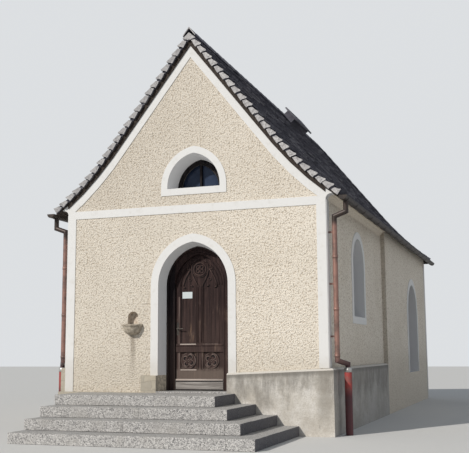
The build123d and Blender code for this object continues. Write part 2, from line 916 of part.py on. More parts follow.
# Block steps in front of the door, each in one slab
for number in range(step_count):
    below_landing = step_count - 1 - number
    with BuildPart() as step:
        with BuildSketch(Plane.XY.offset(number * riser)):
            with Locations((-landing_left, -plinth_out)):
                Rectangle(
                    landing_left + landing_right + below_landing * tread_side,
                    landing_depth - plinth_out + below_landing * tread_front,
                    align=(Align.MIN, Align.MAX),
                )
        extrude(amount=riser)
        fillet(step.faces().sort_by(Axis.Z)[-1].edges(), nosing)
    save(step, f"step_{number + 1}")



def bowl(radius):
    """A solid bowl with many flat sides, its foot bevelled."""
    with BuildPart() as solid:
        with BuildSketch(Plane.XY.offset(stoup_rim)):
            with Locations((stoup_centre, 0)):
                RegularPolygon(radius, stoup_sides)
        extrude(amount=-radius)
        chamfer(solid.faces().sort_by(Axis.Z)[0].edges(), radius - stoup_rim_band)
    return solid.part


# Stoup: half a bowl against the wall under its niche
with BuildPart() as stoup:
    add(bowl(stoup_radius))
    add(bowl(stoup_radius - stoup_wall), mode=Mode.SUBTRACT)
    split(bisect_by=Plane.XZ, keep=Keep.TOP)
save(stoup, "stoup")
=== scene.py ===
"""Looks of a small alpine chapel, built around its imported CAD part. Metres, +Z up, facade to -Y."""

import json
import math
import random

import bmesh
import bpy
import numpy as np
from mathutils import Matrix, Vector


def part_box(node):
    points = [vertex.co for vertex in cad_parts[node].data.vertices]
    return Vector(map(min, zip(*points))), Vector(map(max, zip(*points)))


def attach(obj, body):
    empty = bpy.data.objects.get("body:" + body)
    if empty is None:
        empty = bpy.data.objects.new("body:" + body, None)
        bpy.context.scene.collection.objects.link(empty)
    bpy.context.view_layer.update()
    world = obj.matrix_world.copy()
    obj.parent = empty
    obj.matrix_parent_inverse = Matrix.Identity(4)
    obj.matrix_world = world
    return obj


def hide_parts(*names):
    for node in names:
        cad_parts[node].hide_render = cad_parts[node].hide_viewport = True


SEED = 7
rng = random.Random(SEED)
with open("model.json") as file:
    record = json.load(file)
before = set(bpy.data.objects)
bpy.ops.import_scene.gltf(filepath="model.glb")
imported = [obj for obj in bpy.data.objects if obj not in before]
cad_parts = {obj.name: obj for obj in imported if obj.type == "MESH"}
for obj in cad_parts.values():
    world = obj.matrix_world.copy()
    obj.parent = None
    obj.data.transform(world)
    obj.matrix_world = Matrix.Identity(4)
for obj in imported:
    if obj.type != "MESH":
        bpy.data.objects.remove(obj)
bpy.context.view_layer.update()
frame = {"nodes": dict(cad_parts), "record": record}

# Sizes of the part that the looks follow, read off its nodes
LOW = {name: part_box(name)[0] for name in frame["nodes"]}
HIGH = {name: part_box(name)[1] for name in frame["nodes"]}


def across(name):
    """Middle and half width of a node along the facade."""
    low, high = LOW[name].x, HIGH[name].x
    return (low + high) / 2, (high - low) / 2


HALF = HIGH["nave_wall_right"].x
NAVE_END = HIGH["nave_wall_right"].y
CHOIR_HALF = HIGH["choir_wall_right"].x
DEPTH = HIGH["rear_wall"].y
RUN = HIGH["roof_slates_right"].x
RIDGE_Z = HIGH["roof_slates_right"].z
RIDGE_END = HIGH["ridge_cap"].y
REAR_RUN = HIGH["roof_slates_rear"].y - RIDGE_END
VERGE = -LOW["roof_slates_right"].y
DECK_FRONT = -LOW["roof_deck_right"].y
DOOR_FLOOR = HIGH["threshold"].z
DOOR_X = across("door_frame")[0]
MASONRY_END = DOOR_X - 0.55
LEAF_FRONT = LOW["door_leaf"].y
LEAF_HALF = across("door_leaf")[1]
REVEAL_BACK = LOW["door_frame"].y
LUNETTE_X = across("lunette_surround")[0]
STRING_Z = LOW["front_gable"].z
PLINTH_TOP = HIGH["plinth_right"].z
GUTTER_X, GUTTER_R = across("gutter_right")
GUTTER_Z = HIGH["gutter_right"].z
STOUP_X, STOUP_R = across("stoup")
STOUP_RIM = HIGH["stoup"].z

# Sizes that no node's box gives
KNEE = 1.5                 # ridge to the start of the bell-cast, level
STEEP = 1.28
SHALLOW = 0.68
SLATE_BED = 0.085          # depth of the whole slate layer
COURSE = 0.176             # exposed length of one course
SLATE_TILT = 0.024 / COURSE
OVERLAP = 0.25             # how far courses run past a hip before they are cut
DOOR_SPRING = 2.488
LUNETTE_SPRING = 4.207
ARCH_POINT = 0.1           # arc centres past the middle, for a slight point
PANEL_SINK = 0.016
STILE = 0.074
MUNTIN = 0.112
PANEL_LOW, PANEL_TOP = 1.045, 1.338
LIGHT_FOOT = 1.48          # foot of the tall panels
TRACERY_FOOT = 2.44
RUBBED = (-0.125, 1.66)    # middle of the bare wood by the handle, x and z


def place(name, data):
    """Data as a new object in the scene."""
    obj = bpy.data.objects.new(name, data)
    bpy.context.scene.collection.objects.link(obj)
    return obj


def hang(name, mesh, material, body):
    """Puts a mesh into the scene as a piece that rides on a body."""
    mesh.materials.append(material)
    obj = place(name, mesh)
    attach(obj, body)
    return obj


class Pile:
    """Collects many small solids into one mesh."""

    def __init__(self):
        self.verts = []
        self.faces = []

    def add(self, verts, faces):
        start = len(self.verts)
        self.verts += [tuple(v) for v in verts]
        self.faces += [[start + i for i in face] for face in faces]

    def box(self, low, high):
        """An upright box between two corners."""
        (a, b, c), (d, e, f) = low, high
        self.add(
            [(a, b, c), (d, b, c), (d, e, c), (a, e, c), (a, b, f), (d, b, f), (d, e, f), (a, e, f)],
            [(0, 3, 2, 1), (4, 5, 6, 7), (0, 1, 5, 4), (1, 2, 6, 5), (2, 3, 7, 6), (3, 0, 4, 7)],
        )

    def strip(self, x0, x1, z0, z1, front, back):
        """A board parallel to the facade, with x from the door's middle."""
        low, high = sorted((x0, x1))
        self.box((DOOR_X + low, front, z0), (DOOR_X + high, back, z1))

    def prism(self, bottom, top):
        """A solid between two outlines with the same number of points."""
        n = len(top)
        sides = [(i, (i + 1) % n, n + (i + 1) % n, n + i) for i in range(n)]
        self.add([*bottom, *top], [range(n)[::-1], range(n, 2 * n), *sides])

    def plate(self, ring, front, back):
        """An outline parallel to the facade, as thick as front to back."""
        self.prism([(x, back, z) for x, _, z in ring], [(x, front, z) for x, _, z in ring])

    def tube(self, path, radius, sides=8, closed=False):
        """A round bar along a path."""
        path = [Vector(p) for p in path]
        n = len(path)
        turns = [2 * math.pi * k / sides for k in range(sides)]
        verts, faces = [], []
        for i, p in enumerate(path):
            before = path[i - 1] if (i or closed) else p
            after = path[(i + 1) % n] if (i < n - 1 or closed) else p
            along = (after - before).normalized()
            side = along.cross(Vector((0, 1, 0)))
            if side.length < 0.1:
                side = along.cross(Vector((0, 0, 1)))
            side.normalize()
            up = side.cross(along).normalized()
            r = radius[i] if isinstance(radius, (list, tuple)) else radius
            verts += [p + (side * math.cos(t) + up * math.sin(t)) * r for t in turns]
        for i in range(n if closed else n - 1):
            a, b = i * sides, (i + 1) % n * sides
            for k in range(sides):
                near = (k + 1) % sides
                faces.append((a + k, a + near, b + near, b + k))
        if not closed:
            faces += [range(sides)[::-1], range((n - 1) * sides, n * sides)]
        self.add(verts, faces)

    def make(self, name, slot, body="building", material=None, smooth=False):
        """The pile as one piece, in its slot's own material unless another is given."""
        mesh = bpy.data.meshes.new(name)
        mesh.from_pydata(self.verts, [], self.faces, shade_flat=not smooth)
        bm = bmesh.new()
        bm.from_mesh(mesh)
        bmesh.ops.recalc_face_normals(bm, faces=bm.faces)
        bm.to_mesh(mesh)
        bm.free()
        return hang(name, mesh, material or PAINTS[slot], body)


# Materials


class Nodes:
    """The node tree of a material or world."""

    def __init__(self, owner):
        owner.use_nodes = True
        self.tree = owner.node_tree
        self.tree.nodes.clear()

    def node(self, kind, inputs=None, **settings):
        node = self.tree.nodes.new("ShaderNode" + kind)
        for key, value in settings.items():
            setattr(node, key, value)
        for key, value in (inputs or {}).items():
            socket = node.inputs[key]
            if isinstance(value, bpy.types.NodeSocket):
                self.tree.links.new(value, socket)
            else:
                socket.default_value = (*value, 1) if socket.type == "RGBA" else value
        return node


class Paint(Nodes):
    """A material, with short calls for the nodes it uses."""

    def __init__(self, name):
        self.material = bpy.data.materials.new(name)
        super().__init__(self.material)
        self.where = self.node("TexCoord").outputs["Object"]
        self.x, self.y, self.z = self.node("SeparateXYZ", {0: self.where}).outputs[:3]

    def math(self, operation, a, b=0):
        return self.node("Math", {0: a, 1: b}, operation=operation).outputs[0]

    def times(self, product, *others):
        for other in others:
            product = self.math("MULTIPLY", product, other)
        return product

    def plus(self, a, b):
        return self.math("ADD", a, b)

    def minus(self, a, b):
        return self.math("SUBTRACT", a, b)

    def size(self, a):
        return self.math("ABSOLUTE", a)

    def less(self, a, b):
        return self.math("LESS_THAN", a, b)

    def more(self, a, b):
        return self.math("GREATER_THAN", a, b)

    def off(self, a, b):
        """Distance between two values."""
        return self.size(self.minus(a, b))

    def fades_out(self, value, start, end):
        """1 below start, 0 above end."""
        return self.minus(1, self.fade(value, start, end))

    def facing(self):
        """The outward direction of the face, as x, y and z."""
        return self.node("SeparateXYZ", {0: self.node("NewGeometry").outputs["True Normal"]}).outputs

    def tint(self, share, colour, by):
        """The colour times another, for a share of it."""
        return self.mix(share, colour, self.mix(1, colour, by, "MULTIPLY"))

    def coat(self, colour, paint, mask, share):
        """The colour, painted over by a share where the mask is 1."""
        return self.mix(self.times(mask, share), colour, paint)

    def stretch(self, x, y, z):
        """The place with each axis scaled, for textures longer one way."""
        return self.node("Mapping", {"Vector": self.where, "Scale": (x, y, z)}).outputs[0]

    def noise(self, scale, detail=3, rough=0.55, at=None, warp=0):
        inputs = {"Vector": at or self.where, "Scale": scale, "Detail": detail, "Roughness": rough}
        return self.node("TexNoise", {**inputs, "Distortion": warp}).outputs["Fac"]

    def fade(self, value, start, end):
        """0 below start, 1 above end, and smooth between them."""
        inputs = {"Value": value, "From Min": start, "From Max": end}
        return self.node("MapRange", inputs, interpolation_type="SMOOTHSTEP").outputs["Result"]

    def mix(self, share, a, b, blend="MIX"):
        """From colour a to colour b."""
        inputs = {0: share, 6: a, 7: b}
        return self.node("Mix", inputs, data_type="RGBA", blend_type=blend).outputs[2]

    def ramp(self, value, *stops):
        """Colours at places along a value."""
        node = self.node("ValToRGB", {0: value})
        marks = node.color_ramp.elements
        while len(marks) < len(stops):
            marks.new(0.5)
        for mark, (position, colour) in zip(marks, stops):
            mark.position = position
            mark.color = (*colour, 1)
        return node.outputs["Color"]

    def bricks(self, where, stones, mortar, gap, size, offset, soft=0.1):
        """Courses of stones in two colours."""
        inputs = {
            "Vector": where, "Color1": stones[0], "Color2": stones[1], "Mortar": mortar, "Scale": 1,
            "Mortar Size": gap, "Mortar Smooth": soft, "Brick Width": size[0], "Row Height": size[1],
        }
        return self.node("TexBrick", inputs, offset=offset).outputs["Color"]

    def bump(self, height, depth, below=None):
        """Relief as deep as depth, over the relief below."""
        inputs = {"Height": height, "Distance": depth, "Strength": 1}
        if below is not None:
            inputs["Normal"] = below
        return self.node("Bump", inputs).outputs["Normal"]

    def finish(self, colour, rough, normal=None, **more):
        inputs = {"Base Color": colour, "Roughness": rough}
        if normal is not None:
            inputs["Normal"] = normal
        for key, value in more.items():
            inputs[key.replace("_", " ")] = value
        shader = self.node("BsdfPrincipled", inputs)
        self.node("OutputMaterial", {"Surface": shader.outputs[0]})
        return self.material


# the pit and top tones of the roughcast carry painted shade and painted highlight of its relief
CREAM_SHADED_PIT = (0.62, 0.54, 0.44)
CREAM = (0.88, 0.805, 0.69)
CREAM_LIT_TOP = (0.95, 0.885, 0.785)
WHITE = (0.755, 0.755, 0.75)
REVEAL_WHITE_BOUNCE_LIT = (0.81, 0.81, 0.82)


def wall_paint():
    """Cream roughcast on the outer faces, smooth white paint in reveals and inside."""
    p = Paint("roughcast")
    # the choir's outer faces stand further out than the nave's
    further = p.times(p.more(p.y, NAVE_END + 0.004), CHOIR_HALF - HALF)
    outer_side = p.more(p.size(p.x), p.plus(further, HALF - 0.0015))
    front = p.less(p.y, 0.002)
    rear = p.more(p.y, DEPTH - 0.002)
    outer = p.math("MAXIMUM", p.math("MAXIMUM", outer_side, front), rear)
    face = p.node("CombineXYZ", {0: p.plus(p.x, p.y), 1: p.z}).outputs[0]
    granules = p.node("TexVoronoi", {"Vector": face, "Scale": 36}, voronoi_dimensions="2D").outputs
    tone = p.node("SeparateColor", {0: granules["Color"]}).outputs[0]
    dips = p.times(p.minus(0.5, p.noise(34, 3, 0.75)), 3)
    gravel = p.plus(p.plus(granules["Distance"], p.times(tone, 0.3)), dips)
    # granule tops painted lighter and pits darker: partly grain tone, partly painted highlight and
    # painted shade
    cream = p.ramp(gravel, (0.14, CREAM_LIT_TOP), (0.74, CREAM), (1, CREAM_SHADED_PIT))
    relief = p.minus(1, gravel)
    patches = p.noise(0.9, 4)
    cream = p.tint(p.fade(patches, 0.35, 0.75), cream, (0.93, 0.92, 0.905))
    gable = p.times(front, p.fade(p.z, STRING_Z - 0.1, STRING_Z + 0.5))
    cream = p.tint(gable, cream, (0.93, 0.925, 0.92))
    # the facade's left half is a little greyer
    cream = p.tint(p.times(front, p.fades_out(p.x, -1.2, 1.4)), cream, (0.91, 0.91, 0.91))
    # water stain under the stoup
    drift = p.times(p.minus(p.noise(3, 2), 0.5), 0.12)
    aside = p.size(p.plus(p.minus(p.x, STOUP_X), drift))
    stain = p.times(
        p.fades_out(aside, 0.015, 0.075), front, p.fades_out(p.z, 1.62, 1.66), p.fade(p.z, 0.75, 1.5)
    )
    cream = p.coat(cream, (0.36, 0.31, 0.25), stain, 0.75)
    # splashed foot above the plinth
    foot = p.fades_out(p.plus(p.z, p.times(patches, 0.5)), 1.2, 1.75)
    cream = p.coat(cream, (0.58, 0.52, 0.43), foot, 0.35)
    # the end face of the choir's projection is painted darker, as painted shade
    step = p.times(
        p.less(p.y, NAVE_END + 0.004), p.more(p.y, NAVE_END - 0.004),
        p.more(p.size(p.x), HALF + 0.002),
    )
    cream = p.coat(cream, (0.3, 0.26, 0.225), step, 0.45)
    # the reveals' white is brighter than the bands' white, as painted bounce light
    white = p.mix(p.noise(6), REVEAL_WHITE_BOUNCE_LIT, (0.8, 0.8, 0.8))
    # bare stone at the left foot of the door reveal
    foot = p.times(p.less(p.x, MASONRY_END), p.more(p.x, DOOR_X - 0.66), p.less(p.z, 0.95))
    bare = p.ramp(p.noise(25, 4), (0.35, (0.34, 0.3, 0.24)), (0.6, (0.66, 0.59, 0.48)))
    white = p.mix(foot, white, bare)
    # and in the niche over the stoup
    niche = p.times(p.less(p.off(p.x, STOUP_X), 0.13), p.less(p.y, 0.2))
    bare = p.ramp(p.noise(22, 4), (0.35, (0.42, 0.36, 0.3)), (0.65, (0.72, 0.65, 0.56)))
    white = p.mix(niche, white, bare)
    colour = p.mix(outer, white, cream)
    height = p.mix(outer, p.mix(0.06, (0.5, 0.5, 0.5), p.noise(60)), relief)
    return p.finish(colour, 0.95, p.bump(height, 0.0105))


def white_paint():
    """Smooth lime-white bands. The coves away from the facade are cream like the wall."""
    p = Paint("white_plaster")
    colour = p.mix(p.noise(4, 4), (0.72, 0.72, 0.715), WHITE)
    dirt = p.times(p.fade(p.noise(9, 4), 0.52, 0.75), 0.35)
    colour = p.mix(dirt, colour, (0.58, 0.56, 0.52))
    low_part = p.fades_out(p.z, 1, 1.35)
    colour = p.coat(colour, (0.5, 0.46, 0.4), low_part, 0.35)
    cove = p.times(p.more(p.y, 0.17), p.more(p.z, STRING_Z))
    # the coves use the roughcast's pit tone, which carries painted shade
    colour = p.mix(cove, colour, p.ramp(p.noise(34, 3, 0.75), (0.32, CREAM_SHADED_PIT), (0.55, CREAM)))
    return p.finish(colour, 0.85, p.bump(p.noise(55, 3), 0.002))


def plinth_paint():
    """Weathered cement render, dark with damp along its top edge and in drips below it."""
    p = Paint("plinth_render")
    facing = p.facing()
    blotch = p.noise(2.2, 8, 0.72)
    base = p.ramp(
        blotch, (0.36, (0.5, 0.465, 0.415)), (0.48, (0.6, 0.57, 0.52)), (0.58, (0.7, 0.675, 0.635))
    )
    fine = p.fade(p.noise(42, 5, 0.8), 0.46, 0.64)
    base = p.coat(base, (0.4, 0.365, 0.315), fine, 0.55)
    # depth below the top edge, which rises from the door to the corner
    rise = p.times(p.minus(p.x, DOOR_X + 0.64), 0.0443)
    top = p.math("MINIMUM", p.plus(rise, PLINTH_TOP - 0.08), PLINTH_TOP)
    below = p.minus(top, p.z)
    streaks = p.noise(9, 6, 0.75, at=p.stretch(1, 1, 0.22))
    reach = p.fade(p.noise(2.4, 6, 0.7, at=p.stretch(1, 1, 0.4)), 0.35, 0.65)
    wet = p.fade(p.minus(p.plus(p.times(reach, 0.42), 0.18), below), -0.2, 0.2)
    wet = p.times(wet, p.fade(streaks, 0.22, 0.62))
    base = p.coat(base, (0.22, 0.205, 0.185), wet, 0.74)
    band = p.fades_out(p.plus(below, p.times(p.noise(12, 4), 0.05)), 0.08, 0.15)
    base = p.coat(base, (0.15, 0.14, 0.125), band, 0.62)
    # a damp strip a little short of the corner, and splashes at the foot
    damp = p.off(p.plus(p.x, p.times(blotch, 0.1)), HALF - 0.02)
    damp = p.times(p.fades_out(damp, 0.03, 0.17), p.fade(p.z, 0, 0.5))
    base = p.coat(base, (0.26, 0.24, 0.21), damp, 0.62)
    holes = p.fade(p.noise(15, 6, 0.8), 0.6, 0.68)
    low_down = p.fades_out(p.z, 0.15, 0.55)
    base = p.mix(p.times(holes, p.plus(p.times(low_down, 0.5), 0.15)), base, (0.24, 0.21, 0.18))
    # sideways faces painted darker, partly stain and partly painted shade
    shaded_side_face = p.fade(p.size(facing[0]), 0.5, 0.9)
    base = p.coat(base, (0.2, 0.195, 0.19), shaded_side_face, 0.45)
    # upward faces painted pale, as painted highlight on the ledge
    lit_ledge = p.fade(facing[2], 0.3, 0.6)
    base = p.coat(base, (0.66, 0.63, 0.58), lit_ledge, 0.8)
    # rubble masonry left of the door
    left = p.less(p.x, MASONRY_END)
    waver = p.times(p.noise(5, 3), 0.16)
    wavy = p.node("CombineXYZ", {0: p.plus(p.x, waver), 1: p.plus(p.z, waver)}).outputs[0]
    stones = ((0.6, 0.545, 0.445), (0.44, 0.41, 0.355))
    rubble = p.bricks(wavy, stones, (0.34, 0.315, 0.27), 0.012, (0.31, 0.155), 0.37, 0.9)
    rubble = p.mix(p.noise(14, 5), rubble, (0.38, 0.34, 0.27))
    colour = p.mix(left, base, rubble)
    coarse = p.bump(p.noise(9, 5, 0.6), 0.016)
    return p.finish(colour, 0.95, p.bump(p.noise(90, 3), 0.005, coarse))


def granite_paint():
    p = Paint("granite")
    speck = p.node("TexVoronoi", {"Vector": p.where, "Scale": 84}).outputs["Color"]
    value = p.node("SeparateColor", {0: speck}).outputs[0]
    colour = p.ramp(
        value, (0, (0.12, 0.12, 0.125)), (0.22, (0.29, 0.285, 0.28)),
        (0.5, (0.4, 0.39, 0.385)), (0.85, (0.6, 0.59, 0.575)),
    )
    grime = p.fade(p.noise(3, 5, 0.65), 0.45, 0.75)
    colour = p.coat(colour, (0.38, 0.365, 0.345), grime, 0.6)
    facing = p.facing()
    trodden = p.times(p.fade(facing[2], 0.6, 0.95), 0.45)
    colour = p.mix(trodden, colour, (0.3, 0.295, 0.285))
    # faces turned to +x painted near black, as painted shade on the step ends
    colour = p.coat(colour, (0.075, 0.075, 0.09), p.fade(facing[0], 0.6, 0.95), 0.85)
    height = p.plus(p.noise(60, 4, 0.7), p.times(p.noise(14, 3), 0.5))
    return p.finish(colour, 0.9, p.bump(height, 0.006))


def slate_paint():
    """Rough stone slates: lichen-dark upper faces, pale broken ends along the verge."""
    p = Paint("slate")
    island = p.node("NewGeometry").outputs["Random Per Island"]
    facing = p.facing()
    grain = p.noise(9, 5, 0.62)
    top = p.ramp(
        island, (0, (0.045, 0.045, 0.062)), (0.45, (0.085, 0.085, 0.11)),
        (0.8, (0.125, 0.123, 0.15)), (1, (0.19, 0.187, 0.21)),
    )
    top = p.coat(top, (0.04, 0.037, 0.052), p.fade(grain, 0.42, 0.75), 0.7)
    lichen = p.fade(p.noise(30, 4), 0.62, 0.72)
    top = p.coat(top, (0.36, 0.35, 0.32), lichen, 0.5)
    broken = p.ramp(
        p.noise(30, 4, 0.7), (0.34, (0.2, 0.195, 0.195)), (0.48, (0.43, 0.42, 0.425)),
        (0.64, (0.62, 0.61, 0.6)),
    )
    broken = p.coat(broken, (0.34, 0.33, 0.335), island, 0.45)
    shade_side = p.times(p.less(p.x, 0), 0.35)
    broken = p.mix(shade_side, broken, (0.26, 0.255, 0.26))
    verge = p.times(p.less(facing[1], -0.6), p.less(p.y, 0.018 - VERGE))
    colour = p.mix(verge, top, broken)
    rough = p.bump(p.noise(13, 5, 0.6), 0.012)
    return p.finish(colour, 0.85, p.bump(p.noise(80, 3), 0.003, rough))


def wood_paint(name, dark, mid, light, along="Z", worn=0, bleached_and_shaded=False):
    """Grained wood. A bleached and shaded one pales towards the ground, where rain splashes it, and
    gets painted shade on its frame's left side.
    """
    p = Paint(name)
    scale = {"Z": (26, 26, 1.6), "X": (1.6, 26, 26), "Y": (26, 1.6, 26)}[along]
    grain = p.noise(1, 5, 0.6, at=p.stretch(*scale), warp=0.4)
    colour = p.ramp(grain, (0.32, dark), (0.5, mid), (0.7, light))
    if worn:
        patch = p.fade(p.noise(2.6, 3, at=p.stretch(2.2, 1, 1)), 0.52, 0.7)
        streak = p.times(patch, p.fade(grain, 0.48, 0.62), p.fades_out(p.z, 1.9, 2.4))
        colour = p.mix(p.times(streak, worn), colour, (0.22, 0.155, 0.115))
    if bleached_and_shaded:
        # the frame's left side is painted near black, as painted shade
        shaded_left_frame = p.less(p.x, DOOR_X - LEAF_HALF - 0.006)
        colour = p.coat(colour, (0.008, 0.007, 0.009), shaded_left_frame, 0.75)
        # warm bare wood by the handle
        x, z = RUBBED
        wide, tall = 9, 4.2
        spot = {"Vector": p.where, "Location": (-x * wide, 0, -z * tall), "Scale": (wide, 0, tall)}
        rub = p.node("Mapping", spot)
        rub = p.node("VectorMath", {0: rub.outputs[0]}, operation="LENGTH").outputs["Value"]
        rub = p.fades_out(rub, 0.2, 0.9)
        rub = p.times(rub, p.fade(p.noise(5, 4, at=p.stretch(5, 5, 0.8)), 0.42, 0.58))
        colour = p.coat(colour, (0.15, 0.095, 0.062), rub, 0.8)
        mottle = p.times(p.noise(8, 3), 0.15)
        height = p.plus(p.z, mottle)
        faded = p.fades_out(height, DOOR_FLOOR + 0.5, DOOR_FLOOR + 1.7)
        colour = p.coat(colour, (0.2, 0.14, 0.12), faded, 0.16)
        pale = p.fades_out(height, DOOR_FLOOR + 0.38, DOOR_FLOOR + 0.5)
        pale = p.times(pale, p.less(p.off(p.x, DOOR_X), LEAF_HALF + 0.004))
        colour = p.coat(colour, (0.24, 0.195, 0.165), pale, 0.42)
    return p.finish(colour, 0.7, p.bump(grain, 0.002), Specular_IOR_Level=0.15)


def metal_paint(
    name, colour, second, rough=0.5, metallic=0, scale=14, dark_over=None, dark_under=None
):
    """Metal that may be darker over one level or under another; on the red standpipe the dark foot is
    painted shade.
    """
    p = Paint(name)
    mixed = p.mix(p.fade(p.noise(scale, 5), 0.4, 0.7), colour, second)
    if dark_over:
        darker_above = p.fade(p.z, dark_over - 0.08, dark_over + 0.05)
        mixed = p.coat(mixed, (0.026, 0.021, 0.019), darker_above, 0.92)
    if dark_under:
        darker_below = p.fades_out(p.z, dark_under - 0.12, dark_under + 0.08)
        mixed = p.coat(mixed, (0.05, 0.022, 0.03), darker_below, 0.85)
    return p.finish(mixed, rough, p.bump(p.noise(40, 3), 0.001), Metallic=metallic)


def glass_paint():
    p = Paint("glass")
    tint = p.ramp(p.noise(3, 2), (0.35, (0.02, 0.03, 0.058)), (0.65, (0.035, 0.05, 0.088)))
    return p.finish(tint, 0.12, Specular_IOR_Level=0.25)


def flags_paint():
    p = Paint("floor_stone")
    stones = ((0.4, 0.375, 0.33), (0.31, 0.3, 0.28))
    flags = p.bricks(p.where, stones, (0.15, 0.14, 0.12), 0.006, (0.62, 0.41), 0.5)
    colour = p.mix(p.noise(7, 5), flags, (0.22, 0.21, 0.19))
    return p.finish(colour, 0.8, p.bump(p.noise(20, 4), 0.003))


def stone_paint():
    p = Paint("stoup_stone")
    colour = p.ramp(
        p.noise(18, 5, 0.65), (0.34, (0.2, 0.17, 0.13)), (0.52, (0.42, 0.37, 0.3)),
        (0.7, (0.6, 0.54, 0.45)),
    )
    return p.finish(colour, 0.9, p.bump(p.noise(45, 4), 0.006))


# dark, middle and light of the grain, its direction, wear, and if it is bleached and gets painted
# shade
WOODS = {
    "deck_wood": ((0.02, 0.016, 0.014), (0.04, 0.031, 0.026), (0.07, 0.056, 0.047), "Y"),
    "door_wood": (
        (0.014, 0.0078, 0.008), (0.028, 0.016, 0.0155), (0.056, 0.033, 0.03), "Z", 0.5, True
    ),
    "weather_wood": ((0.17, 0.155, 0.145), (0.29, 0.27, 0.255), (0.44, 0.42, 0.4), "X"),
    "window_wood": ((0.006, 0.005, 0.006), (0.012, 0.01, 0.011), (0.022, 0.018, 0.019)),
}
# two colours, roughness, metallic, scale of their mix, level over which it is black, under which dark
METALS = {
    "iron": ((0.045, 0.042, 0.04), (0.1, 0.085, 0.07), 0.45, 0.7),
    "copper_pipe": ((0.34, 0.19, 0.155), (0.17, 0.11, 0.095), 0.45, 0.3, 7, 3.42, 1.22),
    "gutter_metal": ((0.03, 0.024, 0.022), (0.06, 0.045, 0.038), 0.5, 0.4),
    # the red standpipe's foot is painted dark under 0.72, as painted shade
    "red_pipe": ((0.36, 0.055, 0.05), (0.26, 0.08, 0.07), 0.6, 0, 14, None, 0.72),
}
PAINTS = {
    "roughcast": wall_paint(),
    "white_plaster": white_paint(),
    "plinth_render": plinth_paint(),
    "granite": granite_paint(),
    "slate": slate_paint(),
    "glass": glass_paint(),
    "floor_stone": flags_paint(),
    "stoup_stone": stone_paint(),
}
PAINTS.update({name: wood_paint(name, *look) for name, look in WOODS.items()})
PAINTS.update({name: metal_paint(name, *look) for name, look in METALS.items()})
LOOKS = {row["node"]: row["material_slot"] for row in frame["record"]["subparts"]}
LOOKS.update(verge_boards="deck_wood", rail_moulding="door_wood")
for node_name, node in frame["nodes"].items():
    node.data.materials.clear()
    node.data.materials.append(PAINTS[LOOKS[node_name]])


# Roof


class Slope:
    """One roof slope: s runs up from the eave, w along it, h up from the deck."""

    def __init__(self, run, turned):
        self.turned = turned
        xs = np.linspace(RUN + 0.12, -0.5, 400)
        past = np.maximum(xs - KNEE, 0.0)
        width = RUN - KNEE
        zs = RIDGE_Z - STEEP * xs + (STEEP - SHALLOW) * past**2 / (2 * width)
        slopes = STEEP - (STEEP - SHALLOW) * past / width
        scale = run / RUN
        self.xs = xs * scale
        self.zs = zs
        self.slopes = slopes / scale
        steps = np.hypot(np.diff(self.xs), np.diff(zs))
        self.s = np.concatenate([[0.0], np.cumsum(steps)])
        self.s -= np.interp(-run, -self.xs, self.s)
        self.length = float(np.interp(0.0, -self.xs, self.s))

    def at(self, s, w, h):
        """The point of the scene at s, w and h."""
        x, z, slope = (float(np.interp(s, self.s, row)) for row in (self.xs, self.zs, self.slopes))
        out = (h - SLATE_BED) / math.hypot(1.0, slope)
        return Vector(self.turned(x + slope * out, w, z + out))

    def level(self, s):
        """Level distance from the ridge at a place up the slope."""
        return float(np.interp(s, self.s, self.xs))

    def top(self, x):
        """Height of the slates at a level distance from the ridge."""
        return float(np.interp(-x, -self.xs, self.zs))


right = Slope(RUN, lambda x, w, z: (x, w, z))
left = Slope(RUN, lambda x, w, z: (-x, w, z))
rear = Slope(REAR_RUN, lambda x, w, z: (w, RIDGE_END + x, z))


def slab(pile, slope, s0, length, w0, w1, top, thick):
    """One stone slate with a broken lower edge, top is its height there."""
    count = max(2, round((w1 - w0) / 0.1))
    edge = []
    for i in range(count + 1):
        corner = rng.uniform(0.0, 0.022) if i in (0, count) else 0.0
        edge.append((s0 + corner + rng.uniform(-0.008, 0.008), w0 + (w1 - w0) * i / count))
    skew = rng.uniform(-0.006, 0.006)
    outline = edge + [(s0 + length, w1 + skew), (s0 + length, w0 + skew)]
    lower, upper = [], []
    for s, w in outline:
        s = max(s, 0.0)
        h = top - SLATE_TILT * (s - s0)
        inset = 0.004 if s < s0 + length / 2 else 0.0
        upper.append(slope.at(s + inset, w, h))
        lower.append(slope.at(s, w, h - thick))
    pile.prism(lower, upper)


def lay_slates(slope, w_start, w_end, end_of):
    """Courses of slates from the eave to the ridge. end_of gives where a course ends."""
    pile = Pile()
    courses = math.ceil(slope.length / COURSE) + 1
    for i in range(-2, courses):
        s0 = i * COURSE
        low, high = end_of(max(s0, 0.0), w_start, w_end)
        w = low - rng.uniform(0.0, 0.2)
        while w < high:
            width = rng.choice((0.22, 0.27, 0.31, 0.36, 0.42, 0.5)) + rng.uniform(-0.02, 0.02)
            begin = max(w, low)
            finish = min(w + width - 0.004, high)
            w += width
            if finish - begin < 0.07:
                continue
            thick = rng.uniform(0.018, 0.029)
            lift = rng.uniform(-0.004, 0.003)
            length = min(COURSE * 2.5, slope.length + 0.1 - s0)
            shift = rng.uniform(-0.012, 0.012)
            slab(pile, slope, s0 + shift, length, begin, finish, SLATE_BED - 0.003 + lift, thick)
    return pile


def cut(obj, point, normal):
    """Removes what lies on the normal's side of a plane, and closes the cut."""
    bm = bmesh.new()
    bm.from_mesh(obj.data)
    geometry = bm.verts[:] + bm.edges[:] + bm.faces[:]
    done = bmesh.ops.bisect_plane(
        bm, geom=geometry, plane_co=Vector(point), plane_no=Vector(normal), clear_outer=True
    )
    edges = [e for e in done["geom_cut"] if isinstance(e, bmesh.types.BMEdge)]
    bmesh.ops.holes_fill(bm, edges=edges, sides=0)
    bmesh.ops.triangulate(bm, faces=[f for f in bm.faces if len(f.verts) > 4])
    bm.to_mesh(obj.data)
    bm.free()


